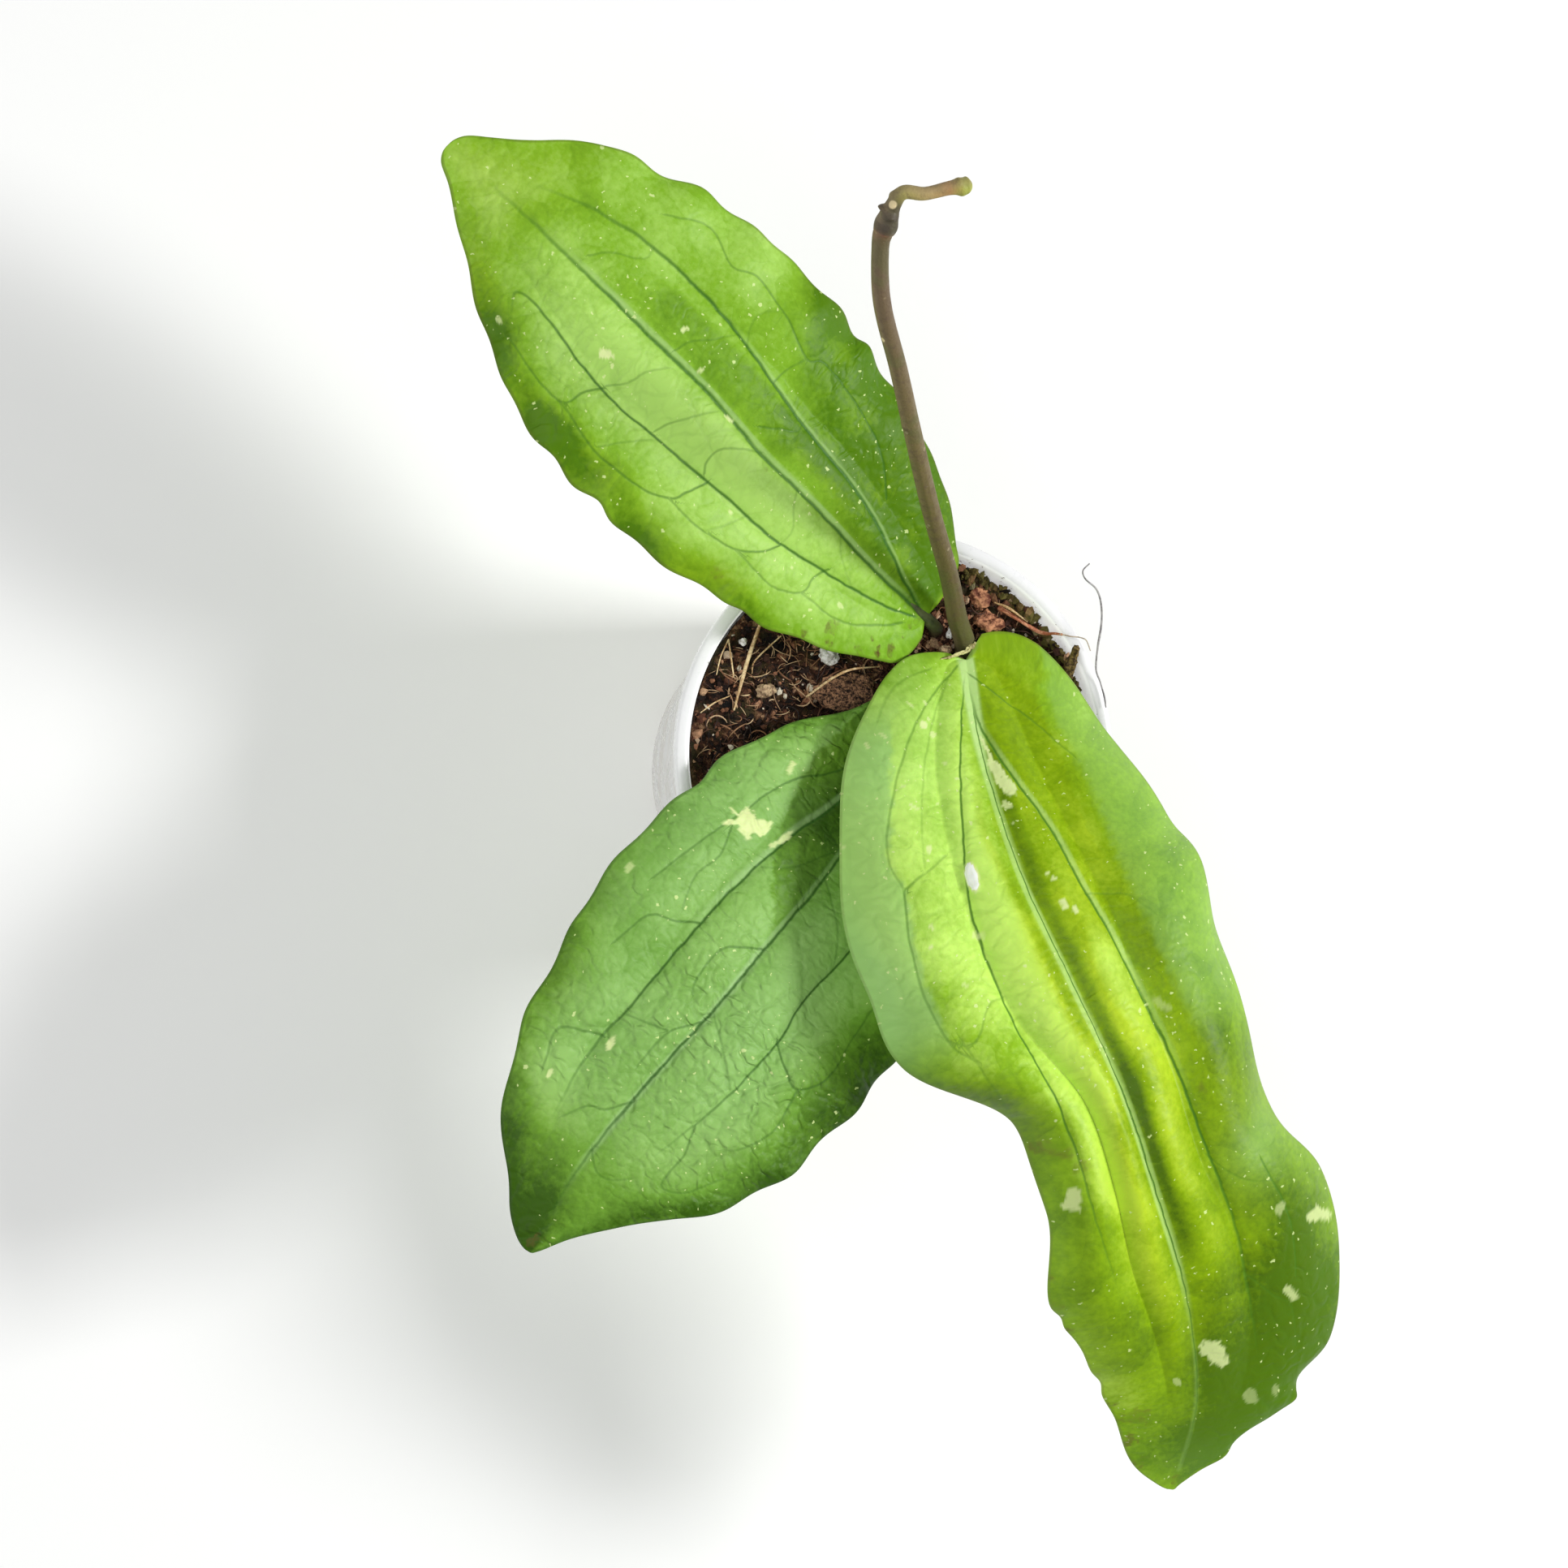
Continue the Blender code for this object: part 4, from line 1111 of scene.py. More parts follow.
def near_vein(s, t, route):
    """Signed distance in mm from points to a route on the flattened leaf, and where along it, 0 to 1.

    The route is cut into short straight runs, and each point takes its nearest one.
    """
    count = int(np.ceil(np.linalg.norm(np.diff(route, axis=0), axis=1).sum() / 1.2)) + 2
    path = along_route(route, np.linspace(0, len(route) - 1, count))
    best = np.full(s.shape, 99.0)
    side = np.ones(s.shape)
    spot = np.ones(s.shape)
    for number, (start, run) in enumerate(zip(path[:-1], np.diff(path, axis=0))):
        gap_s = s - start[0]
        gap_t = t - start[1]
        share = np.clip((gap_s * run[0] + gap_t * run[1]) / (run @ run), 0, 1)
        away = np.hypot(gap_s - share * run[0], gap_t - share * run[1])
        closer = away < best
        best = np.where(closer, away, best)
        side = np.where(closer, np.where(run[0] * gap_t - run[1] * gap_s >= 0, 1, -1), side)
        spot = np.where(closer, (number + share) / (count - 1), spot)
    return best * side, spot


def patches(along, across, spots):
    """The sum of soft round patches: each is (along, across, reach along, reach across, amount)."""
    total = np.zeros(along.shape)
    for along_at, across_at, reach_along, reach_across, amount in spots:
        away = ((along - along_at) / reach_along) ** 2 + ((across - across_at) / reach_across) ** 2
        total += amount * np.exp(-away)
    return total


def cell_domes(s, t, size, seed):
    """Height from 0 to 1 of the domes between the borders of a net of irregular cells of this size."""
    spot = np.stack([s, t], axis=-1) / size
    spot = spot + 0.3 * np.stack([lumps(spot, 1.1, seed + 5), lumps(spot, 1.1, seed + 6)], axis=-1)
    first = np.full(s.shape, 9.0)
    second = np.full(s.shape, 9.0)
    for shift in np.ndindex(3, 3):
        cell = np.floor(spot) + np.array(shift) - 1
        seed_at = cell + 0.1 + 0.8 * np.stack([cell_value(cell, seed), cell_value(cell, seed + 1)], axis=-1)
        away = np.linalg.norm(spot - seed_at, axis=-1)
        second = np.minimum(second, np.maximum(first, away))
        first = np.minimum(first, away)
    return 1 - np.exp(-(((second - first) / 0.35) ** 2))


def make_blade(name, leaf):
    """The closed skin of one blade with its relief, and the values that its material reads.

    Round each ring the upper face runs from the left margin to the right one, a half-round edge turns
    under, the underside runs back, and a second half-round edge closes the ring. The relief is a
    groove along each vein, a swelling between the veins, and the domes of a net of small cells. Where
    a dried drop lies, a smooth bead takes the relief's place.
    """
    share = np.linspace(0, 1, blade_rows + 2)[1:-1]
    along = share - 0.5 * np.sin(2 * math.pi * share) / (2 * math.pi)
    half_turn = np.array([0.25, 0.5, 0.75]) * math.pi
    over_top = np.linspace(1, -1, top_columns)
    back_under = np.linspace(-1, 1, under_columns)
    across = np.concatenate([over_top, [-1] * 3, back_under, [1] * 3])
    roll = [np.zeros(top_columns), half_turn, np.full(under_columns, math.pi), half_turn[::-1]]
    roll = np.concatenate(roll)
    u, v = np.meshgrid(along, across, indexing="ij")
    base, t = blade_point(leaf, u, v)
    fine = np.linspace(0, 1, 400)
    walk = along_route(np.array(leaf["spine"], float), fine * (len(leaf["spine"]) - 1))
    walked = np.append(0, np.cumsum(np.linalg.norm(np.diff(walk, axis=0), axis=1)))
    s = np.interp(u, fine, walked)

    def flat_spot(spots):
        """Points (along, across) of the blade on the flattened leaf, in mm."""
        spots = np.array(spots, float)
        aside = half_width(leaf, *spots.T) * spots[:, 1]
        return np.stack([np.interp(spots[:, 0], fine, walked), aside], axis=-1)

    run_along = np.gradient(base, axis=0)
    run_along /= np.linalg.norm(run_along, axis=-1, keepdims=True)
    normal = np.cross(np.gradient(base[:, :top_columns], axis=1), run_along[:, :top_columns])
    normal /= np.linalg.norm(normal, axis=-1, keepdims=True)
    column = (1 - across) / 2 * (top_columns - 1)
    lower = np.minimum(column.astype(int), top_columns - 2)
    part = (column - lower)[None, :, None]
    normal = normal[:, lower] * (1 - part) + normal[:, lower + 1] * part
    normal /= np.linalg.norm(normal, axis=-1, keepdims=True)

    groove = np.zeros(u.shape)
    nearest = np.full(u.shape, 6.0)
    ridge = np.zeros(u.shape)
    strength = np.zeros(u.shape)
    signed = []
    for vein in ("midrib", "right_vein", "left_vein"):
        depth, route = leaf[vein]
        away, spot = near_vein(s, t, flat_spot(route))
        signed.append(away)
        fade = np.clip((1 - spot) / 0.3, 0, 1) ** 0.7 * ease(spot, 0, leaf["bare_base"])
        strength = np.where(np.abs(away) < nearest, fade, strength)
        nearest = np.minimum(nearest, np.abs(away))
        groove = np.maximum(groove, depth * fade * np.exp(-((away / 0.5) ** 2)))
        ridge = np.maximum(ridge, -depth * fade * np.exp(-((away / 0.7) ** 2)))
    small = np.full(u.shape, 9.0)
    dark = np.zeros(u.shape)
    for darkness, route in leaf["side_veins"]:
        route = flat_spot(route)
        rows = (s[:, 0] > route[:, 0].min() - 6) & (s[:, 0] < route[:, 0].max() + 6)
        away, spot = near_vein(s[rows], t[rows], route)
        window = darkness * (1 - 0.45 * spot) * np.exp(-((away / 0.9) ** 2))
        closer = np.abs(away) < np.abs(small[rows])
        small[rows] = np.where(closer, away, small[rows])
        dark[rows] = np.where(closer, window, dark[rows])
        line = window * np.exp(-((away / 0.35) ** 2))
        groove[rows] = np.maximum(groove[rows], 0.5 * leaf["midrib_depth"] * line)
        nearest[rows] = np.minimum(nearest[rows], np.abs(away) + 1.2 * spot)

    def stripes(bands):
        """The sum of bands beside the main veins.

        Each band is (vein, start, stop, soft, first, last, amount): it lies from start to stop mm off
        the vein, positive towards the left margin, with edges this soft, from first to last along.
        """
        total = np.zeros(u.shape)
        for vein, start, stop, soft, first, last, amount in bands:
            away = signed[vein]
            beside = ease(away, start - soft, start + soft) * (1 - ease(away, stop - soft, stop + soft))
            begun = ease(u, first - 0.05, first + 0.05)
            ended = ease(u, last - 0.07, last + 0.07)
            total += amount * beside * begun * (1 - ended)
        return total

    flat = np.stack([s, t], axis=-1)
    rag = lumps(flat, 0.9, leaf["seed"] + 7) + 0.6 * lumps(flat, 0.4, 8)
    cream = np.zeros(u.shape)
    for along_at, across_at, long_half, wide_half, lean, amount in leaf["creams"]:
        ds, dt = np.moveaxis(flat - flat_spot([(along_at, across_at)]), -1, 0)
        length = (ds * math.cos(lean) + dt * math.sin(lean)) / long_half
        breadth = (dt * math.cos(lean) - ds * math.sin(lean)) / wide_half
        torn = 0.0 if amount > 1 else 0.35
        cream = np.maximum(cream, amount * np.clip((1 + torn * rag - np.hypot(length, breadth)) / 0.16, 0, 1))
    drop = np.clip(2 * cream - 2, 0, 1)

    body = np.sqrt(np.maximum(np.sin(math.pi * u), 0))
    margin = (1 - np.abs(v)) * half_width(leaf, u, v)
    calm = body * np.clip(margin / 1.5, 0, 1)
    height, size = leaf["quilt"]
    lively = np.clip(0.5 + 0.5 * lumps(flat, 14.0, leaf["seed"] + 3), 0, 1)
    broad_domes = cell_domes(s, t, 2.6 * size, leaf["seed"] + 9)
    domes = height * (lively * cell_domes(s, t, size, leaf["seed"]) + broad_domes)
    relief = leaf["swell"] * (1 - np.exp(-((nearest / 2.2) ** 2))) + domes - groove + ridge
    relief = (relief * (1 - drop) + 0.25 * drop) * calm
    thick = blade_thickness / 2 * (1 - 0.5 * np.abs(v) ** 5) * np.clip(6 * body, 0.15, 1)
    keel = 1.0 * (1 - u) ** 1.5 * np.exp(-((t / 1.3) ** 2)) * np.clip(8 * body, 0, 1)
    upper = roll == 0
    under = roll == math.pi
    lift = thick * (np.cos(roll) - 1) + relief * upper - (0.4 * groove * calm + keel) * under
    outward = np.sign(v)[..., None] * np.cross(normal, run_along)
    points = base + normal * lift[..., None] + outward * (thick * np.sin(roll))[..., None]
    mesh = skin(name, points, leaf["spine"][0], leaf["spine"][-1])

    brown = np.zeros(u.shape)
    for along_at, across_at, reach, amount in leaf["browns"]:
        away = np.linalg.norm(flat - flat_spot([(along_at, across_at)]), axis=-1)
        brown = np.maximum(brown, amount * np.clip((1.0 + 0.7 * rag - away / reach) / 0.4, 0, 1))
    warp = flat / 9.0
    drift = 0.035 * np.stack([lumps(warp, 1.0, 12), 3 * lumps(warp, 1.0, 13)], axis=-1)
    shifted = (u + drift[..., 0], v + drift[..., 1])
    # The tone holds the leaf's own lighter and darker greens together with painted light and shade: shade
    # bands beside the veins, and patches lightened or darkened for the light.
    tone = 0.5 + patches(*shifted, leaf["tones"]) + stripes(leaf["shades"])
    tone = tone + 0.07 * lumps(flat, 9.0, leaf["seed"] + 4) + 0.05 * lumps(flat, 3.0, leaf["seed"] + 5)
    # The blue value is a painted sheen: a pale bluish reflection laid into the colour.
    shaded = {"tone": tone, "blue": patches(*shifted, leaf["sheen_patches"]), "ripe": patches(*shifted, leaf["ripe"])}
    for label, place_of, route, offset, soft, first, last, amount in leaf["areas"]:
        away, _ = near_vein(s, t, flat_spot(route))
        hand = math.copysign(1, route[0][1])
        beyond = ease(hand * away + 0.4 * rag, offset - soft, offset + soft) * (hand * t > 0)
        inside = (1 - beyond) * ease(hand * signed[0], -0.2, 0.5)
        window = ease(u, first, first + 0.06) * (1 - ease(u, last - 0.06, last))
        shaded[label] += amount * window * (beyond if place_of == "beyond" else inside)
    margin = margin * (upper | under)

    def layer(name, *values):
        """Keeps up to four values for each vertex; the two end points take the mean of their ring."""
        columns = []
        for value in np.broadcast_arrays(*values):
            columns.append(np.append(value.ravel(), [value[0].mean(), value[-1].mean()]))
        paint(mesh, name, np.stack(columns, axis=-1))

    layer("main_veins", *signed, strength)
    # The fourth value is the pale bands beside the veins: partly the veins' own pale border, partly a painted
    # highlight on the lit wall of their grooves.
    layer("small_veins", small, dark, lively, stripes(leaf["glows"]))
    layer("zones", shaded["tone"], margin, shaded["blue"], shaded["ripe"])
    layer("marks", cream, brown, (roll < 1.6) * np.ones(u.shape))
    loops = np.empty(len(mesh.loops), np.int32)
    mesh.loops.foreach_get("vertex_index", loops)
    ends = [[walked[0], 0], [walked[-1], 0]]
    where = np.concatenate([flat.reshape(-1, 2), ends])[loops] / flat_scale
    mesh.uv_layers.new(name="flattened").data.foreach_set("uv", where.astype(np.float32).ravel())
    return mesh


def wax_group():
    """What the three leaves share, read on the flattened leaf: tiny flecks, mottling, a cell net, and pits.

    A fleck is the middle of a random cell, kept where a cloud of noise allows it. The net is the
    borders of irregular cells, bent by noise, at two sizes.
    """
    group = bpy.data.node_groups.new("wax_skin", "ShaderNodeTree")
    for label, kind in (("Vector", "Vector"), ("Fleck Amount", "Float"), ("Cell Scale", "Float")):
        group.interface.new_socket(label, in_out="INPUT", socket_type="NodeSocket" + kind)
    for label in ("Fleck", "Mottle", "Pits", "Net", "Dome", "Cell Tone", "Crinkle"):
        group.interface.new_socket(label, in_out="OUTPUT", socket_type="NodeSocketFloat")
    look = Shader("wax_skin", group)
    inlet = look.node("NodeGroupInput").outputs
    outlet = look.node("NodeGroupOutput").inputs
    where = inlet["Vector"]

    def bent(scale, amount):
        """The place pushed about by noise."""
        cloud = look.node("ShaderNodeTexNoise", in_Vector=where, in_Scale=scale, in_Detail=2.0)
        push = cloud.outputs["Color"]
        push = look.node("ShaderNodeVectorMath", operation="SUBTRACT", in_0=push, in_1=(0.5, 0.5, 0.5))
        push = look.node("ShaderNodeVectorMath", operation="SCALE", in_0=push.outputs[0], in_Scale=amount)
        push = look.node("ShaderNodeVectorMath", operation="ADD", in_0=where, in_1=push.outputs[0])
        return push.outputs[0]

    def cells(vector, scale, **settings):
        """The outputs of a flat pattern of irregular cells."""
        settings = {"voronoi_dimensions": "2D", **settings}
        return look.node("ShaderNodeTexVoronoi", in_Vector=vector, in_Scale=scale, **settings).outputs

    curved_place = bent(30.0, 0.022)
    ragged = bent(190.0, 0.008)
    crowd = look.range(look.noise(where, 6.0, 3.0), 0.42, 0.62, 0.1, 1.0)
    kept = look.math("SUBTRACT", 1.0, look.times(crowd, inlet["Fleck Amount"]))
    flecks = []
    for scale, small, large in ((46.0, 0.03, 0.1), (105.0, 0.04, 0.12)):
        dots = cells(ragged, scale)
        draw = look.node("ShaderNodeSeparateColor", in_0=dots["Color"]).outputs
        size = look.plus(small, look.times(draw[1], large))
        dot = look.range(look.math("SUBTRACT", size, dots["Distance"]), -0.02, 0.04)
        flecks.append(look.times(dot, look.math("GREATER_THAN", draw[0], kept)))
    look.join(look.math("MAXIMUM", *flecks), outlet["Fleck"])
    cloud = look.times(look.noise(where, 14.0, 5.0, 0.6), 0.55)
    grain = look.times(look.noise(where, 120.0, 3.0, 0.6), 0.45)
    look.join(look.plus(cloud, grain), outlet["Mottle"])
    crinkle = look.noise(curved_place, 30.0, 1.0, 0.5, stretch=(1.7, 1.0, 1.0))
    crinkle = look.math("ABSOLUTE", look.math("SUBTRACT", crinkle, 0.5))
    look.join(look.range(crinkle, 0.0, 0.16), outlet["Crinkle"])
    pits = cells(where, 150.0)["Distance"]
    look.join(look.plus(pits, look.noise(where, 260.0, 2.0)), outlet["Pits"])
    borders = []
    for share in (1.0, 0.4):
        scale = look.times(inlet["Cell Scale"], share)
        borders.append(cells(curved_place, scale, feature="DISTANCE_TO_EDGE")["Distance"])
    thin = look.range(borders[0], 0.09, 0.02)
    broad = look.range(borders[1], 0.045, 0.012)
    look.join(look.math("MAXIMUM", look.times(thin, 0.7), broad), outlet["Net"])
    dome = look.plus(look.range(borders[0], 0.0, 0.25), look.range(borders[1], 0.0, 0.12))
    look.join(dome, outlet["Dome"])
    tones = cells(curved_place, inlet["Cell Scale"])["Color"]
    look.join(look.node("ShaderNodeSeparateColor", in_0=tones).outputs[0], outlet["Cell Tone"])
    return group


wax_skin = wax_group()


def leaf_finish(
    name, greens, ripe, vein, under, rim, net, dome, crinkle, flecks, cell, gloss, widths
):
    """Waxy leaf skin in the greens of one leaf, with its own veins, flecks, marks and rim.

    The painted tone, partly painted light and shade, picks between the dark, middle and light greens,
    and a painted sheen lays the bluish green over it. Creases are painted darker as shade. The net, the
    pale borders (partly a painted highlight), the veins, the flecks, the brown marks and the rim go over
    it in that order.
    """
    dark, middle, light, blue = (tint(*green) for green in greens)
    vein, under, rim_colour = tint(*vein), tint(*under), tint(*rim[0])
    look = Shader(name)
    where = look.where("UV")
    wax = look.node("ShaderNodeGroup", node_tree=wax_skin, in_Vector=where, in_Fleck_Amount=flecks)
    look.join(flat_scale / cell, wax.inputs["Cell Scale"])
    wax = wax.outputs

    def painted(layer):
        """The three colour parts and the alpha of one painted layer."""
        made = look.node("ShaderNodeAttribute", attribute_name=layer)
        parts = look.node("ShaderNodeSeparateColor", in_0=made.outputs["Color"]).outputs
        return [parts[0], parts[1], parts[2], made.outputs["Alpha"]]

    def over(amount, colour, mask):
        """Lays a colour over the green so far by a mask times an amount."""
        return look.mix(look.times(mask, amount, clamp=True), green, colour)

    main, small, zones, marks = (painted(layer) for layer in ("main_veins", "small_veins", "zones", "marks"))
    wobble = look.range(look.noise(where, 30.0, 3.0), 0.25, 0.75, -0.1, 0.1)
    lines = []
    for away, width in zip(main[:3], widths):
        off = look.math("ABSOLUTE", look.plus(away, wobble))
        lines.append(look.range(off, width, 0.03))
    line = look.times(look.math("MAXIMUM", look.math("MAXIMUM", *lines[:2]), lines[2]), main[3])
    off = look.math("ABSOLUTE", look.plus(small[0], wobble))
    side_line = look.times(look.range(off, 0.28, 0.02), small[1])

    cell_tone = look.range(wax["Cell Tone"], 0.0, 1.0, -0.05, 0.05)
    grain = look.range(wax["Mottle"], 0.3, 0.7, -0.15, 0.15)
    tone = look.plus(look.plus(zones[0], cell_tone), grain)
    green = look.ramp(tone, (0.02, dark), (0.5, middle), (0.95, light))
    golden = look.ramp(tone, (0.02, tint(*ripe[0])), (0.5, tint(*ripe[1])), (0.95, tint(*ripe[2])))
    green = over(1.0, golden, zones[3])
    # Painted sheen: the bluish green where the leaf reflects the pale surroundings.
    green = over(1.0, blue, zones[2])
    lively = look.range(small[2], 0.0, 1.0, 0.3, 1.0)
    # Painted shade: the creases of the crinkle are darkened in the vein colour.
    painted_crease_shade = look.times(look.math("SUBTRACT", 1.0, wax["Crinkle"]), lively)
    green = over(crinkle, vein, painted_crease_shade)
    green = over(net, vein, look.times(wax["Net"], lively))
    # The pale bands beside the veins, partly a painted highlight.
    green = over(1.0, look.mix(0.5, light, tint(176, 206, 160)), small[3])
    green = over(0.85, vein, side_line)
    green = over(0.88, vein, line)
    cream = tint(222, 240, 160)
    green = over(0.75, cream, wax["Fleck"])
    chalky = look.mix(look.range(marks[0], 1.0, 1.3), tint(226, 240, 166), tint(252, 255, 246))
    green = over(1.0, chalky, look.times(marks[0], look.range(wax["Mottle"], 0.25, 0.42, 0.6, 1.0)))
    green = over(1.0, tint(98, 80, 38), look.times(marks[1], look.range(wax["Mottle"], 0.4, 0.6)))
    below = look.mix(look.range(wax["Mottle"], 0.3, 0.7), under, look.mix(0.35, under, light))
    below = look.mix(look.times(line, 0.6), below, look.mix(0.5, under, tint(200, 220, 160)))
    green = look.mix(look.range(marks[2], 0.45, 0.55), below, green)
    edge = look.times(look.range(zones[1], 0.3, 0.1), look.range(wax["Mottle"], 0.3, 0.6, 0.3, 1.0))
    green = over(rim[1], rim_colour, edge)
    rough = look.range(wax["Mottle"], 0.3, 0.7, gloss - 0.05, gloss + 0.07)
    rough = look.plus(rough, look.range(marks[2], 0.45, 0.55, 0.15, 0.0))
    height = look.times(look.times(wax["Dome"], lively), dome)
    height = look.plus(height, look.times(look.times(wax["Crinkle"], lively), 1.5 * dome))
    height = look.plus(height, look.times(wax["Pits"], 0.01))
    height = look.math("SUBTRACT", height, look.times(look.math("MAXIMUM", line, side_line), 0.04))
    return look.finish(
        Base_Color=green,
        Roughness=rough,
        IOR=1.45,
        Specular_IOR_Level=0.2,
        Subsurface_Weight=0.08,
        Subsurface_Radius=(0.5, 1.0, 0.2),
        Subsurface_Scale=0.0004,
        Normal=look.bump(height, 0.001, 1.0),
    )


def stalk_finish():
    """Green-brown skin of the leaf stalks, earthy at the foot."""
    look = Shader("leaf_stalk_skin")
    where = look.where()
    mottle = look.noise(where, 700, 4)
    high = look.node("ShaderNodeSeparateXYZ", in_Vector=where).outputs[2]
    green = look.ramp(mottle, (0.35, tint(66, 82, 42)), (0.65, tint(112, 124, 70)))
    return look.finish(
        Base_Color=look.mix(look.range(high, 0.056, 0.052, 0.2, 0.85), green, tint(72, 54, 38)),
        Roughness=look.range(mottle, 0.3, 0.7, 0.45, 0.65),
        Normal=look.bump(look.noise(where, 1800, 3), 0.0001, 0.6),
    )


stalk_look = stalk_finish()


def leaf_stalk(name, slot, foot, *upper_knots):
    """The short thick stalk: straight up out of the peat, then over to the underside of the blade."""
    knots = [(*foot, height) for height in (43.8, 48.8, 51.8)] + list(upper_knots)
    mesh = dry_cord(name, knots, [1.0, 1.0, 0.95, 0.85, 0.7], 70, 28, 0.0, 0.1, 90)
    place(name, mesh, stalk_look, slot)


upper_look = leaf_finish(
    "upper_leaf_skin",
    greens=[(84, 130, 0), (132, 182, 40), (178, 222, 104), (140, 186, 104)],
    ripe=[(84, 126, 0), (142, 180, 22), (176, 206, 84)],
    vein=(58, 108, 30),
    under=(150, 176, 104),
    rim=[(96, 106, 40), 0.45],
    net=0.12,
    dome=0.06,
    crinkle=0.1,
    flecks=0.2,
    cell=3.2,
    gloss=0.46,
    widths=(0.44, 0.4, 0.32),
)
place("upper_leaf_blade", make_blade("upper_leaf_blade", upper_leaf), upper_look, "leaf_bright", "leaf_upper")
leaf_stalk("upper_leaf_stalk", "leaf_bright", (6.2, 17.4), (4.4, 18.2, 55.0), (-1, 21.8, 57.2))

# The left leaf
# The darker leaf that points towards the viewer's left, partly under the largest one. Its skin is
# quilted by a net of small veins, and it stands on its own stalk.

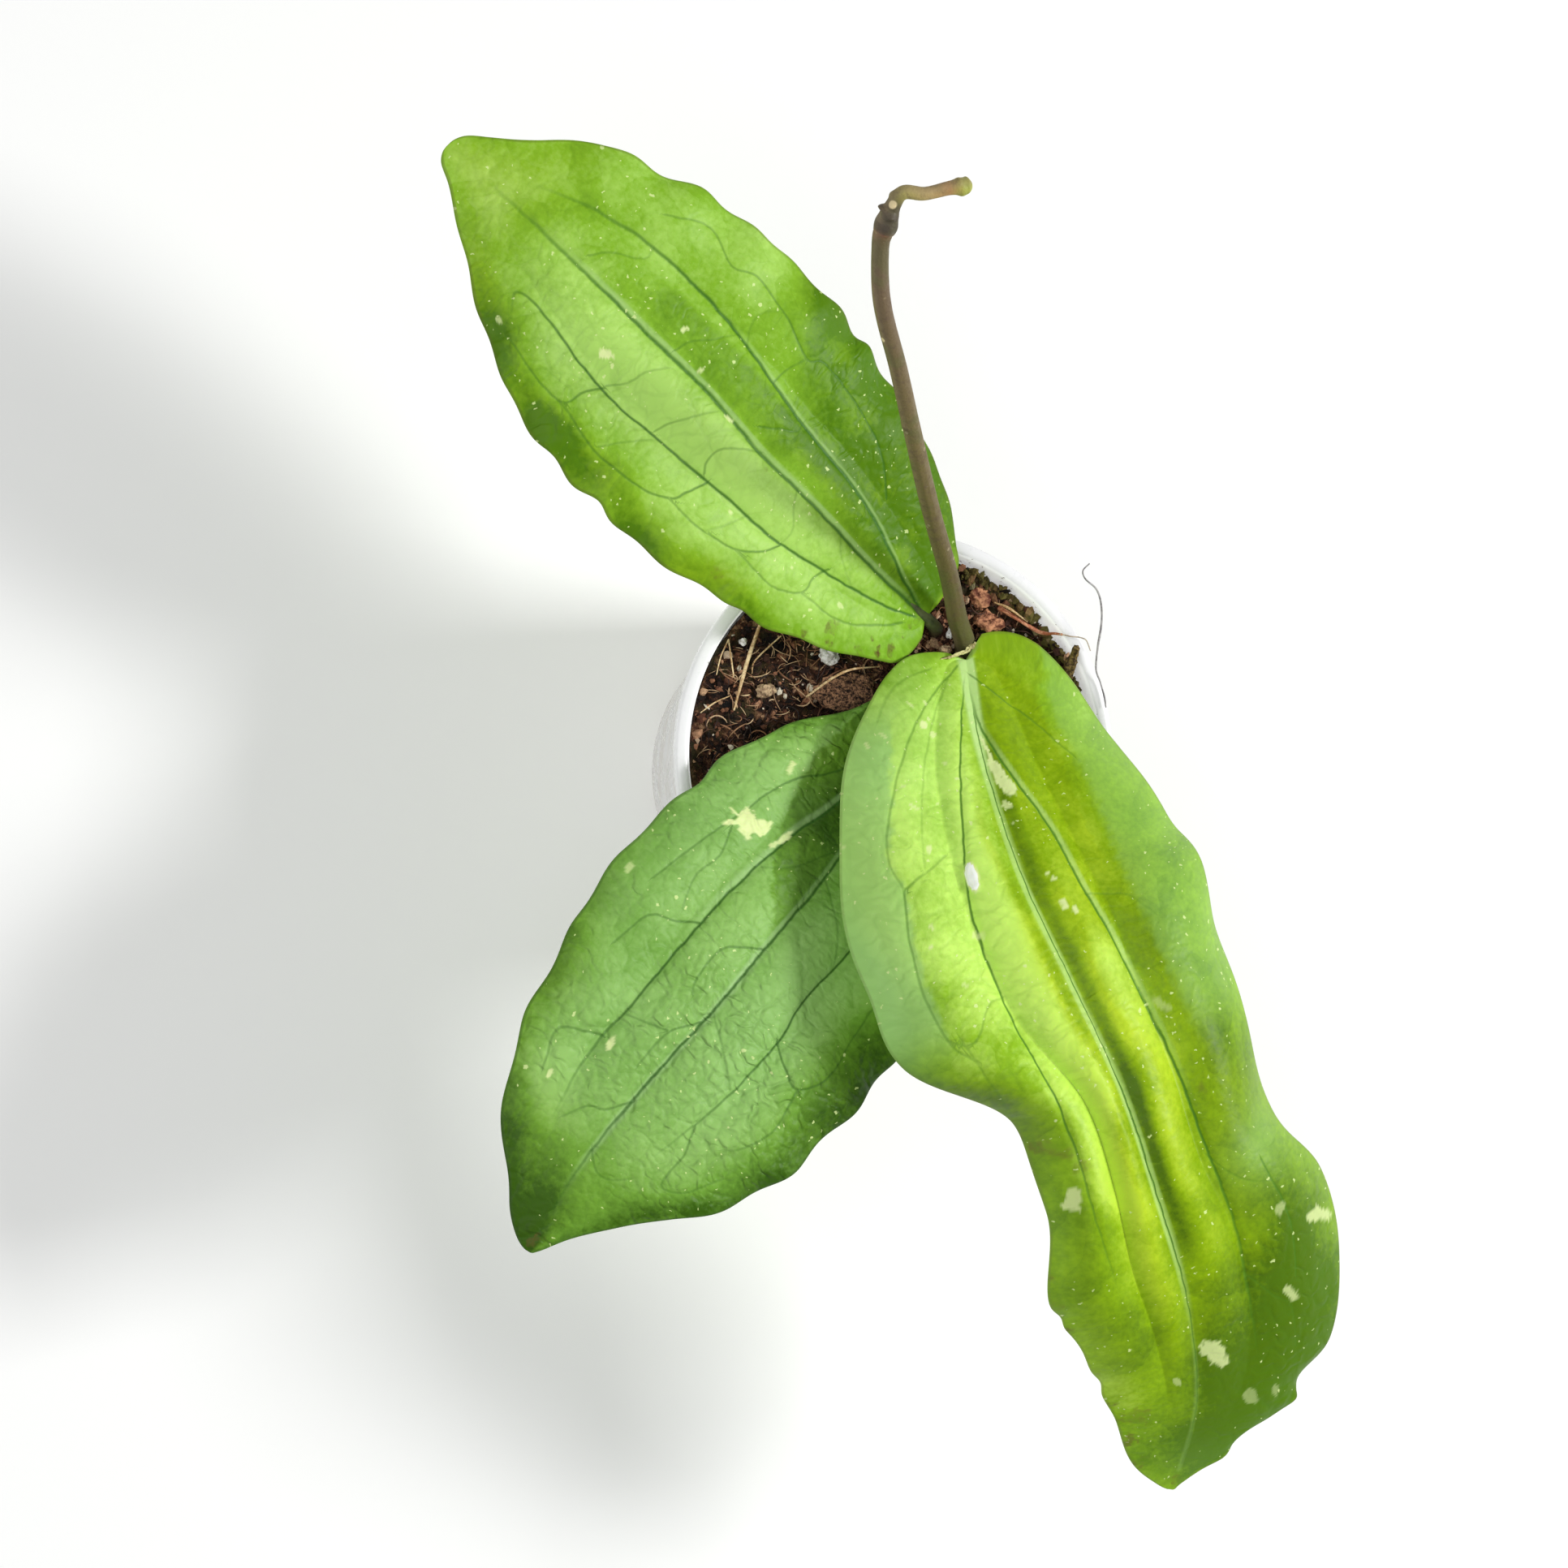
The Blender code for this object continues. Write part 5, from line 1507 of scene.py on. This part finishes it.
left_leaf = {
    "seed": 23,
    "spine": [
        (8, 7, 54), (2, 0.5, 56.5), (-5.5, -8.5, 58.5), (-13, -17.5, 61.5), (-21.5, -26.5, 64),
        (-29.5, -35.5, 65), (-37.5, -44.5, 64.5), (-45, -54, 63), (-50.5, -64.5, 60),
    ],
    "left": [0, 5, 8.5, 11.5, 15, 19, 21, 22.5, 23.5, 23, 22, 19, 14, 8.5, 3.5, 1, 0],
    "right": [0, 4, 5.5, 7.5, 10.5, 15.8, 19.5, 20.8, 21.8, 21.2, 19.2, 16.8, 12.7, 7.5, 4.5, 2, 0],
    "shoulder": (1.0, 1.0),
    "side_vein": 0.45,
    "pleat": 0.8,
    "bulge": 1.2,
    "droop": 2.0,
    "ripple": (0.7, 7.5),
    "scallop": (0.3, 9.0),
    "nicks": [],
    "swell": 0.15,
    "quilt": (0.05, 2.7),
    "bare_base": 0.02,
    # The two areas are a painted shadow of the right leaf: darker and deeper green inside its edge.
    "areas": [
        ("tone", "inside", [(0.18, -0.78), (0.229, -0.68), (0.301, -0.52), (0.369, -0.4),
            (0.424, -0.24), (0.466, -0.05)], -0.6, 0.3, -0.1, 0.5, -0.34),
        ("ripe", "inside", [(0.18, -0.78), (0.229, -0.68), (0.301, -0.52), (0.369, -0.4),
            (0.424, -0.24), (0.466, -0.05)], -0.6, 0.3, -0.1, 0.5, 0.7),
    ],
    "midrib": (0.3, [(0, 0), (0.2, 0.02), (0.4, 0.01), (0.56, 0.01), (0.7, 0), (0.83, 0), (0.95, 0)]),
    "right_vein": (0.26, [(0.02, -0.05), (0.16, -0.2), (0.27, -0.25), (0.34, -0.33), (0.45, -0.38),
        (0.55, -0.39), (0.66, -0.42), (0.76, -0.47), (0.84, -0.48)]),
    "left_vein": (0.28, [(0.02, 0.1), (0.15, 0.4), (0.29, 0.44), (0.41, 0.4), (0.5, 0.37),
        (0.58, 0.41), (0.69, 0.4), (0.8, 0.38)]),
    "midrib_depth": 0.3,
    "side_veins": [
        (0.85, [(0.1, -0.2), (0.22, -0.42), (0.28, -0.6), (0.37, -0.68), (0.44, -0.72), (0.52, -0.78)]),
        (0.8, [(0.52, -0.39), (0.54, -0.5), (0.56, -0.66), (0.62, -0.74)]),
        (0.7, [(0.72, -0.45), (0.73, -0.58), (0.75, -0.76), (0.8, -0.74)]),
        (0.75, [(0.49, 0), (0.51, -0.12), (0.53, -0.2), (0.58, -0.2), (0.6, -0.16)]),
        (0.85, [(0.57, 0.4), (0.59, 0.53), (0.6, 0.67), (0.56, 0.75), (0.5, 0.72), (0.42, 0.7)]),
        (0.6, [(0.6, 0.67), (0.66, 0.73), (0.71, 0.69), (0.73, 0.62)]),
        (0.6, [(0.73, 0.4), (0.77, 0.5), (0.82, 0.6), (0.81, 0.74), (0.76, 0.79)]),
        (0.5, [(0.36, 0.02), (0.38, 0.14), (0.4, 0.26), (0.44, 0.38)]),
        (0.7, [(0.62, 0), (0.65, -0.1), (0.68, -0.14), (0.72, -0.14)]),
        (0.6, [(0.66, -0.14), (0.67, -0.28), (0.68, -0.42)]),
        (0.45, [(0.6, 0.02), (0.62, 0.14), (0.64, 0.26), (0.66, 0.38)]),
        (0.5, [(0.3, 0.02), (0.34, -0.1), (0.38, -0.2), (0.41, -0.34)]),
        (0.6, [(0.4, -0.66), (0.44, -0.58), (0.48, -0.6), (0.52, -0.53)]),
        (0.6, [(0.76, 0), (0.79, -0.12), (0.8, -0.26), (0.83, -0.4)]),
        (0.5, [(0.84, 0), (0.86, 0.14), (0.86, 0.3), (0.84, 0.42)]),
    ],
    # The patch at 0.28 along, -0.1 across is part of the painted shadow of the right leaf.
    "tones": [
        (0.55, 0.25, 0.25, 0.45, 0.42), (0.5, -0.5, 0.3, 0.4, 0.25), (0.76, 0.4, 0.15, 0.35, 0.12),
        (0.14, 0.0, 0.14, 0.5, -0.3), (0.5, 1.0, 0.16, 0.24, -0.45), (0.97, -0.4, 0.08, 0.9, -0.7),
        (0.88, -0.95, 0.08, 0.2, -0.2), (0.66, -1.0, 0.14, 0.12, -0.2), (0.26, -0.72, 0.1, 0.2, 0.4),
        (0.83, -0.6, 0.07, 0.25, 0.25), (0.5, 0.52, 0.08, 0.15, 0.15), (0.28, -0.1, 0.08, 0.3, -0.35),
        (0.8, -0.6, 0.1, 0.3, 0.2), (0.7, 1.0, 0.1, 0.12, -0.35), (0.88, 0.95, 0.08, 0.2, -0.4),
    ],
    "shades": [(0, 0.2, 2.4, 0.8, 0.05, 0.5, -0.15)],
    "glows": [
        (0, -0.75, -0.1, 0.2, 0.05, 0.55, 0.6), (0, -0.5, 0.5, 0.25, 0.5, 0.85, 0.55),
        (1, -0.85, -0.1, 0.25, 0.1, 0.5, 0.5), (2, -0.7, -0.1, 0.25, 0.1, 0.55, 0.3),
    ],
    "sheen_patches": [(0.55, 0.25, 0.25, 0.45, 0.3), (0.4, -0.75, 0.2, 0.35, 0.3), (0.7, -0.4, 0.15, 0.4, 0.2)],
    "ripe": [
        (0.97, -0.3, 0.12, 1.0, 1.0), (0.5, 1.0, 0.18, 0.3, 0.9), (0.14, -0.3, 0.12, 0.5, 0.3),
        (0.66, -1.0, 0.2, 0.2, 0.7),
    ],
    "creams": [
        (0.376, -0.6, 1.9, 1.7, 0.4, 1.0), (0.366, -0.53, 1.5, 1.2, 2.6, 1.0),
        (0.393, -0.68, 1.5, 0.45, 2.46, 1.0), (0.362, -0.37, 2.3, 0.38, 2.89, 0.8),
        (0.378, -0.7, 1.3, 0.35, 1.57, 0.9), (0.266, -0.68, 0.9, 0.5, 0.3, 0.8),
        (0.72, -0.38, 0.9, 0.5, 0.2, 0.9), (0.8, -0.67, 0.7, 0.35, 0.2, 0.8),
        (0.53, -0.92, 0.8, 0.4, 0.2, 0.5),
    ],
    "browns": [(0.985, 0.0, 0.8, 0.6)],
}
left_look = leaf_finish(
    "left_leaf_skin",
    greens=[(56, 96, 0), (114, 164, 54), (154, 200, 104), (134, 182, 112)],
    ripe=[(52, 86, 0), (110, 156, 30), (150, 190, 80)],
    vein=(50, 96, 26),
    under=(128, 160, 96),
    rim=[(56, 82, 36), 0.45],
    net=0.15,
    dome=0.13,
    crinkle=0.08,
    flecks=0.15,
    cell=2.7,
    gloss=0.47,
    widths=(0.3, 0.3, 0.28),
)
place("left_leaf_blade", make_blade("left_leaf_blade", left_leaf), left_look, "leaf_dark", "leaf_left")
leaf_stalk("left_leaf_stalk", "leaf_dark", (9.4, 7.4), (8.2, 7.0, 53.1), (3.8, 2.6, 54.8))

# The right leaf
# The largest leaf, lime green, arched over towards the viewer. It is pleated lengthwise along its
# three main veins, narrows at a waist, and flares again before the tip.

right_leaf = {
    "seed": 41,
    "spine": [
        (9, 13, 56.5), (8.5, -0.5, 65.5), (11, -15.5, 73.5), (16, -29, 78.5), (22, -43.5, 80.5),
        (27.5, -58, 79), (33.5, -71.5, 73.5), (37.5, -85.5, 66.5), (37.5, -98.5, 57.5),
    ],
    "left": [0, 8, 13.2, 17.4, 20.2, 23.4, 24.6, 23, 21.5, 21, 25, 24, 20, 11, 4.5, 1, 0],
    "right": [0, 7, 11, 14.5, 19, 22, 24, 23, 13, 13, 16, 14, 11.5, 9.5, 6.5, 2.5, 0],
    "shoulder": (6.5, 1.5),
    "side_vein": 0.36,
    "pleat": 1.6,
    "bulge": 3.2,
    "droop": 6.5,
    "ripple": (0.8, 6.5),
    "scallop": (0.3, 7.0),
    "nicks": [
        (0.872, 1, 0.013, 2.0), (0.893, 1, 0.006, -0.8), (0.925, 1, 0.016, 1.8), (0.955, 1, 0.01, -0.5),
        (0.71, -1, 0.012, 0.6), (0.82, -1, 0.015, 0.7),
    ],
    "swell": 0.12,
    "quilt": (0.015, 4.2),
    "bare_base": 0.13,
    # The blue areas are painted sheen over the outer parts of both sides.
    "areas": [
        ("blue", "beyond", [(0, -0.66), (0.064, -0.75), (0.129, -0.71), (0.176, -0.7), (0.214, -0.74),
            (0.244, -0.68), (0.271, -0.7), (0.316, -0.72), (0.394, -0.76), (0.43, -0.82),
            (0.47, -0.95)], 0.0, 0.5, 0.06, 0.42, 0.6),
        ("ripe", "inside", [(0.02, 1.0), (0.039, 0.8), (0.052, 0.63), (0.09, 0.53), (0.131, 0.5),
            (0.18, 0.47), (0.226, 0.44), (0.286, 0.42), (0.34, 0.36)], 0.0, 0.7, -0.1, 0.38, 0.62),
        ("blue", "beyond", [(0.02, 1.0), (0.039, 0.84), (0.06, 0.66), (0.156, 0.6), (0.226, 0.54),
            (0.3, 0.5), (0.4, 0.52), (0.6, 0.56)], 0.3, 0.9, -0.1, 0.5, 0.26),
    ],
    "midrib": (-0.22, [(0, 0), (0.1, 0), (0.2, 0), (0.36, -0.01), (0.5, 0.01), (0.67, 0.01),
        (0.83, 0), (0.97, 0.02)]),
    "right_vein": (0.25, [(0.01, -0.04), (0.06, -0.12), (0.11, -0.17), (0.2, -0.27), (0.29, -0.35),
        (0.38, -0.38), (0.45, -0.48), (0.49, -0.62), (0.55, -0.68), (0.62, -0.64), (0.7, -0.55)]),
    "left_vein": (0.3, [(0.02, 0), (0.08, 0.02), (0.15, 0.15), (0.22, 0.26), (0.3, 0.28),
        (0.38, 0.33), (0.49, 0.38), (0.58, 0.41), (0.68, 0.38), (0.77, 0.37), (0.84, 0.42)]),
    "midrib_depth": 0.25,
    "side_veins": [
        (0.75, [(0.02, 0.02), (0.04, 0.2), (0.07, 0.4), (0.09, 0.48), (0.14, 0.61)]),
        (0.4, [(0.3, 0.28), (0.31, 0.38), (0.32, 0.48), (0.35, 0.57)]),
        (0.8, [(0.63, 0.68), (0.68, 0.65), (0.72, 0.66), (0.77, 0.65)]),
        (0.7, [(0.01, -0.2), (0.06, -0.47), (0.11, -0.61), (0.17, -0.71), (0.21, -0.75),
            (0.24, -0.69)]),
        (0.7, [(0.24, -0.69), (0.235, -0.62), (0.23, -0.55), (0.22, -0.4)]),
        (0.7, [(0.24, -0.69), (0.28, -0.73), (0.33, -0.76), (0.39, -0.76), (0.42, -0.72)]),
        (0.6, [(0.39, -0.76), (0.4, -0.68), (0.39, -0.58), (0.37, -0.47), (0.37, -0.39)]),
        (0.4, [(0.39, -0.7), (0.44, -0.79), (0.48, -0.92)]),
        (0.4, [(0.02, -0.6), (0.05, -0.86), (0.09, -0.89)]),
        (0.4, [(0.03, -0.3), (0.1, -0.42), (0.17, -0.5), (0.23, -0.55)]),
        (0.4, [(0.6, 0.4), (0.64, 0.5), (0.66, 0.62), (0.66, 0.75)]),
        (0.35, [(0.75, 0.37), (0.78, 0.5), (0.8, 0.62), (0.84, 0.7)]),
    ],
    # The patch at 0.19 along, -0.86 across is painted light on the drooping outer part of the right side.
    "tones": [
        (0.29, -0.24, 0.2, 0.16, 0.5), (0.28, -0.5, 0.12, 0.2, 0.25), (0.55, -0.35, 0.16, 0.22, 0.5),
        (0.66, -0.2, 0.1, 0.16, 0.25), (0.48, 0.22, 0.18, 0.14, 0.5), (0.02, 0.7, 0.04, 0.4, 0.05),
        (0.84, 0.66, 0.14, 0.42, -0.8), (0.95, 0.0, 0.06, 0.9, -0.5), (0.83, 0.1, 0.1, 0.25, -0.25),
        (0.82, -0.7, 0.1, 0.3, 0.1), (0.43, -0.92, 0.08, 0.14, -0.45), (0.66, 0.14, 0.03, 0.08, -0.3),
        (0.6, -0.85, 0.12, 0.25, -0.2), (0.5, 0.7, 0.2, 0.35, -0.25), (0.1, -0.4, 0.1, 0.3, 0.2),
        (0.27, 0.75, 0.14, 0.25, -0.15), (0.27, 0.42, 0.05, 0.1, 0.3), (0.74, -0.45, 0.09, 0.25, -0.4),
        (0.19, -0.86, 0.1, 0.2, 0.85),
    ],
    # Painted shade: darker bands in the valleys beside the midrib and the left vein.
    "shades": [
        (0, 0.5, 2.2, 0.8, 0.12, 0.66, -0.34), (0, -2.4, -0.9, 0.6, 0.24, 0.46, -0.22),
        (2, 0.6, 2.4, 0.9, 0.34, 0.5, -0.14), (0, 0.4, 2.8, 0.8, 0.5, 0.68, -0.12),
        (0, 0.3, 1.8, 0.5, 0.44, 0.62, -0.2),
    ],
    "glows": [
        (0, -0.7, 0.45, 0.2, 0.0, 0.72, 0.6), (0, -1.0, 0.9, 0.25, -0.1, 0.12, 0.7),
        (0, -0.4, 0.2, 0.2, 0.72, 1.1, 0.12), (2, 0.1, 0.7, 0.2, 0.1, 0.5, 0.5),
        (0, -1.3, 1.0, 0.4, -0.1, 0.06, 0.8),
    ],
    "sheen_patches": [
        (0.31, -0.95, 0.09, 0.22, 0.5), (0.1, -0.85, 0.08, 0.3, 0.3), (0.64, 0.8, 0.05, 0.25, 0.35),
        (0.97, 0.1, 0.04, 0.9, 0.08), (0.2, -0.48, 0.1, 0.22, 0.16), (0.08, -0.45, 0.06, 0.3, 0.15),
    ],
    "ripe": [
        (0.75, 0.0, 0.25, 1.2, 1.0), (0.32, 0.45, 0.14, 0.16, 0.8), (0.12, 0.35, 0.12, 0.25, 0.8),
        (0.38, -0.1, 0.18, 0.06, 0.9), (0.42, 0.06, 0.24, 0.07, 0.9), (0.5, 0.2, 0.14, 0.5, 0.6),
        (0.55, 0.7, 0.14, 0.4, 0.4), (0.46, -0.9, 0.07, 0.2, 0.8),
    ],
    "creams": [
        (0.244, -0.285, 2.1, 0.85, -0.12, 1.5), (0.118, 0.042, 2.4, 0.28, 0.2, 0.95),
        (0.14, 0.065, 1.6, 0.7, 0.25, 0.9), (0.158, 0.09, 1.7, 1.05, 0.3, 0.9),
        (0.181, 0.055, 0.7, 0.5, 0.2, 0.7), (0.2, 0.05, 0.4, 0.3, 0.2, 0.6),
        (0.302, 0.13, 0.9, 0.55, 0.2, 0.9), (0.312, 0.17, 0.6, 0.5, 0.4, 0.9),
        (0.27, 0.14, 0.5, 0.35, 1.0, 0.8), (0.262, 0.12, 0.3, 0.25, 1.0, 0.8),
        (0.44, 0.43, 1.6, 0.5, 0.5, 0.3), (0.09, -0.5, 0.7, 0.6, 0.0, 0.9),
        (0.1, -0.39, 0.5, 0.4, 0.0, 0.7), (0.21, -0.5, 0.6, 0.5, 0.0, 0.8),
        (0.17, -0.55, 0.7, 0.25, 0.9, 0.7), (0.3, -0.36, 0.9, 0.5, 1.2, 0.6),
        (0.59, -0.8, 1.3, 1.1, 0.0, 0.75), (0.727, 0.86, 0.8, 2.9, -0.36, 0.7),
        (0.7, 0.62, 0.8, 0.9, 0.0, 0.4), (0.82, 0.12, 2.9, 1.3, 0.5, 0.7),
        (0.787, 0.62, 2.0, 0.85, 0.6, 0.6), (0.84, -0.25, 1.0, 0.4, 0.6, 0.4),
        (0.88, 0.48, 1.3, 0.9, 0.7, 0.3), (0.88, 0.71, 0.9, 0.5, 0.5, 0.3),
        (0.113, -0.9, 0.5, 0.2, 0.3, 0.7), (0.103, -0.82, 0.6, 0.18, 1.0, 0.6),
        (0.277, -0.6, 0.6, 0.3, 0.6, 0.7), (0.293, -0.64, 0.35, 0.3, 0.0, 0.8),
        (0.195, -0.98, 0.5, 0.2, 0.8, 0.6), (0.07, -0.66, 0.7, 0.2, 0.9, 0.6),
        (0.065, -0.52, 0.4, 0.25, 0.5, 0.6), (0.17, -0.38, 0.3, 0.2, 0.5, 0.6),
        (0.15, -0.62, 0.5, 0.18, 1.1, 0.6), (0.34, -0.55, 0.5, 0.2, 0.9, 0.5),
        (0.13, -0.3, 0.3, 0.2, 0.5, 0.6),
    ],
    "browns": [
        (0.54, -0.8, 1.1, 0.5), (0.53, -0.92, 1.0, 0.55), (0.53, 0.48, 0.8, 0.4),
        (0.885, -0.82, 2.0, 0.5), (0.985, 0, 0.8, 0.6), (0.56, -0.6, 0.8, 0.5), (0.69, -0.97, 1.0, 0.7),
        (0.66, -0.99, 0.7, 0.6), (0.8, -0.99, 0.7, 0.6), (0.86, -0.98, 0.9, 0.7),
        (0.93, -0.9, 1.6, 0.6), (0.73, -0.99, 0.6, 0.7), (0.96, -0.8, 1.2, 0.6),
        (0.62, -0.99, 0.5, 0.5), (0.56, -0.72, 0.4, 0.5),
    ],
}
right_look = leaf_finish(
    "right_leaf_skin",
    greens=[(84, 130, 0), (148, 196, 34), (206, 248, 112), (166, 214, 122)],
    ripe=[(80, 112, 0), (138, 174, 0), (190, 220, 44)],
    vein=(74, 126, 30),
    under=(156, 186, 96),
    rim=[(104, 108, 60), 0.35],
    net=0.08,
    dome=0.04,
    crinkle=0.1,
    flecks=0.2,
    cell=3.6,
    gloss=0.45,
    widths=(0.16, 0.24, 0.3),
)
place("right_leaf_blade", make_blade("right_leaf_blade", right_leaf), right_look, "leaf_lime", "leaf_right")
sheath_line = [
    (5.2, 12.9, 57.1),
    (6.6, 13.3, 57.2),
    (7.8, 13.7, 57.3),
    (8.8, 14.1, 57.3),
    (9.6, 14.7, 57.2),
    (10.3, 15.3, 56.8),
]
sheath_radii = [0.1, 0.24, 0.2, 0.24, 0.3, 0.15]
sheath_mesh = dry_cord("papery_sheath", sheath_line, sheath_radii, 90, 24, 0.55, 0.75, 95)
sheath_look = straw_finish("papery_sheath_skin", tint(126, 116, 58), tint(222, 216, 150))
place("papery_sheath", sheath_mesh, sheath_look, "leaf_lime")
leaf_stalk("right_leaf_stalk", "leaf_lime", (10.2, 11.2), (9.2, 11.6, 55.4), (9, 5.5, 59.5))

# The table, the lamps and the camera
# A plain pale table top, a small lamp high at the right, a broad, weaker one high at the left, and
# a camera that looks down on the plant from the left.

table_mesh = bpy.data.meshes.new("table_top")
table_half = 3.0
table_height = -0.0002
table_corners = np.array([(-1, -1, 0), (1, -1, 0), (1, 1, 0), (-1, 1, 0)]) * table_half
table_mesh.from_pydata((table_corners + [0, 0, table_height]).tolist(), [], [(0, 1, 2, 3)])
table = bpy.data.objects.new("table_top", table_mesh)
bpy.context.scene.collection.objects.link(table)
table_look = Shader("pale_table")
table_tone = table_look.noise(table_look.where(), 3, 3)
table_mesh.materials.append(
    table_look.finish(
        Base_Color=table_look.mix(table_tone, tint(240, 240, 238), tint(246, 246, 245)),
        Roughness=0.7,
        Emission_Color=(1.0, 1.0, 1.0, 1.0),
        Emission_Strength=0.12,
    )
)

lamp_aim = (0.0, -0.02, 0.06)


def posed(right, up, back, spot):
    """The pose whose axes point right, up and back, and which stands at this spot."""
    pose = np.eye(4)
    pose[:3] = np.stack([right, up, back, spot], axis=1)
    return Matrix(pose.tolist())


for label, spot, size, power in (
    ("window_lamp", (0.6, 0.05, 0.6), 0.18, 5.0),
    ("fill_lamp", (-0.5, -0.1, 0.7), 0.7, 2.8),
):
    lamp = bpy.data.lights.new(label, "AREA")
    lamp.shape = "SQUARE"
    lamp.size = size
    lamp.energy = power
    stand = bpy.data.objects.new(label, lamp)
    back = np.array(spot) - np.array(lamp_aim)
    back /= np.linalg.norm(back)
    right = np.cross([0, 0, 1.0], back)
    right /= np.linalg.norm(right)
    up = np.cross(back, right)
    stand.matrix_world = posed(right, up, back, spot)
    bpy.context.scene.collection.objects.link(stand)

world = bpy.data.worlds.new("studio")
world.use_nodes = True
sky = world.node_tree.nodes["Background"].inputs
sky["Color"].default_value = (0.97, 0.985, 1.0, 1.0)
sky["Strength"].default_value = 0.32
bpy.context.scene.world = world
bpy.context.scene.view_settings.view_transform = "Standard"

camera_data = bpy.data.cameras.new("camera")
camera_data.sensor_width = 36.0
camera_data.lens = 77.18
camera = bpy.data.objects.new("camera", camera_data)
camera_right = (0.9713, 0.0, 0.2379)
camera_up = (-0.0102, 0.9991, 0.0416)
camera_back = (-0.2377, -0.0428, 0.9704)
camera_spot = (-0.1218, -0.0230, 0.4879)
camera.matrix_world = posed(camera_right, camera_up, camera_back, camera_spot)
bpy.context.scene.collection.objects.link(camera)
bpy.context.scene.camera = camera
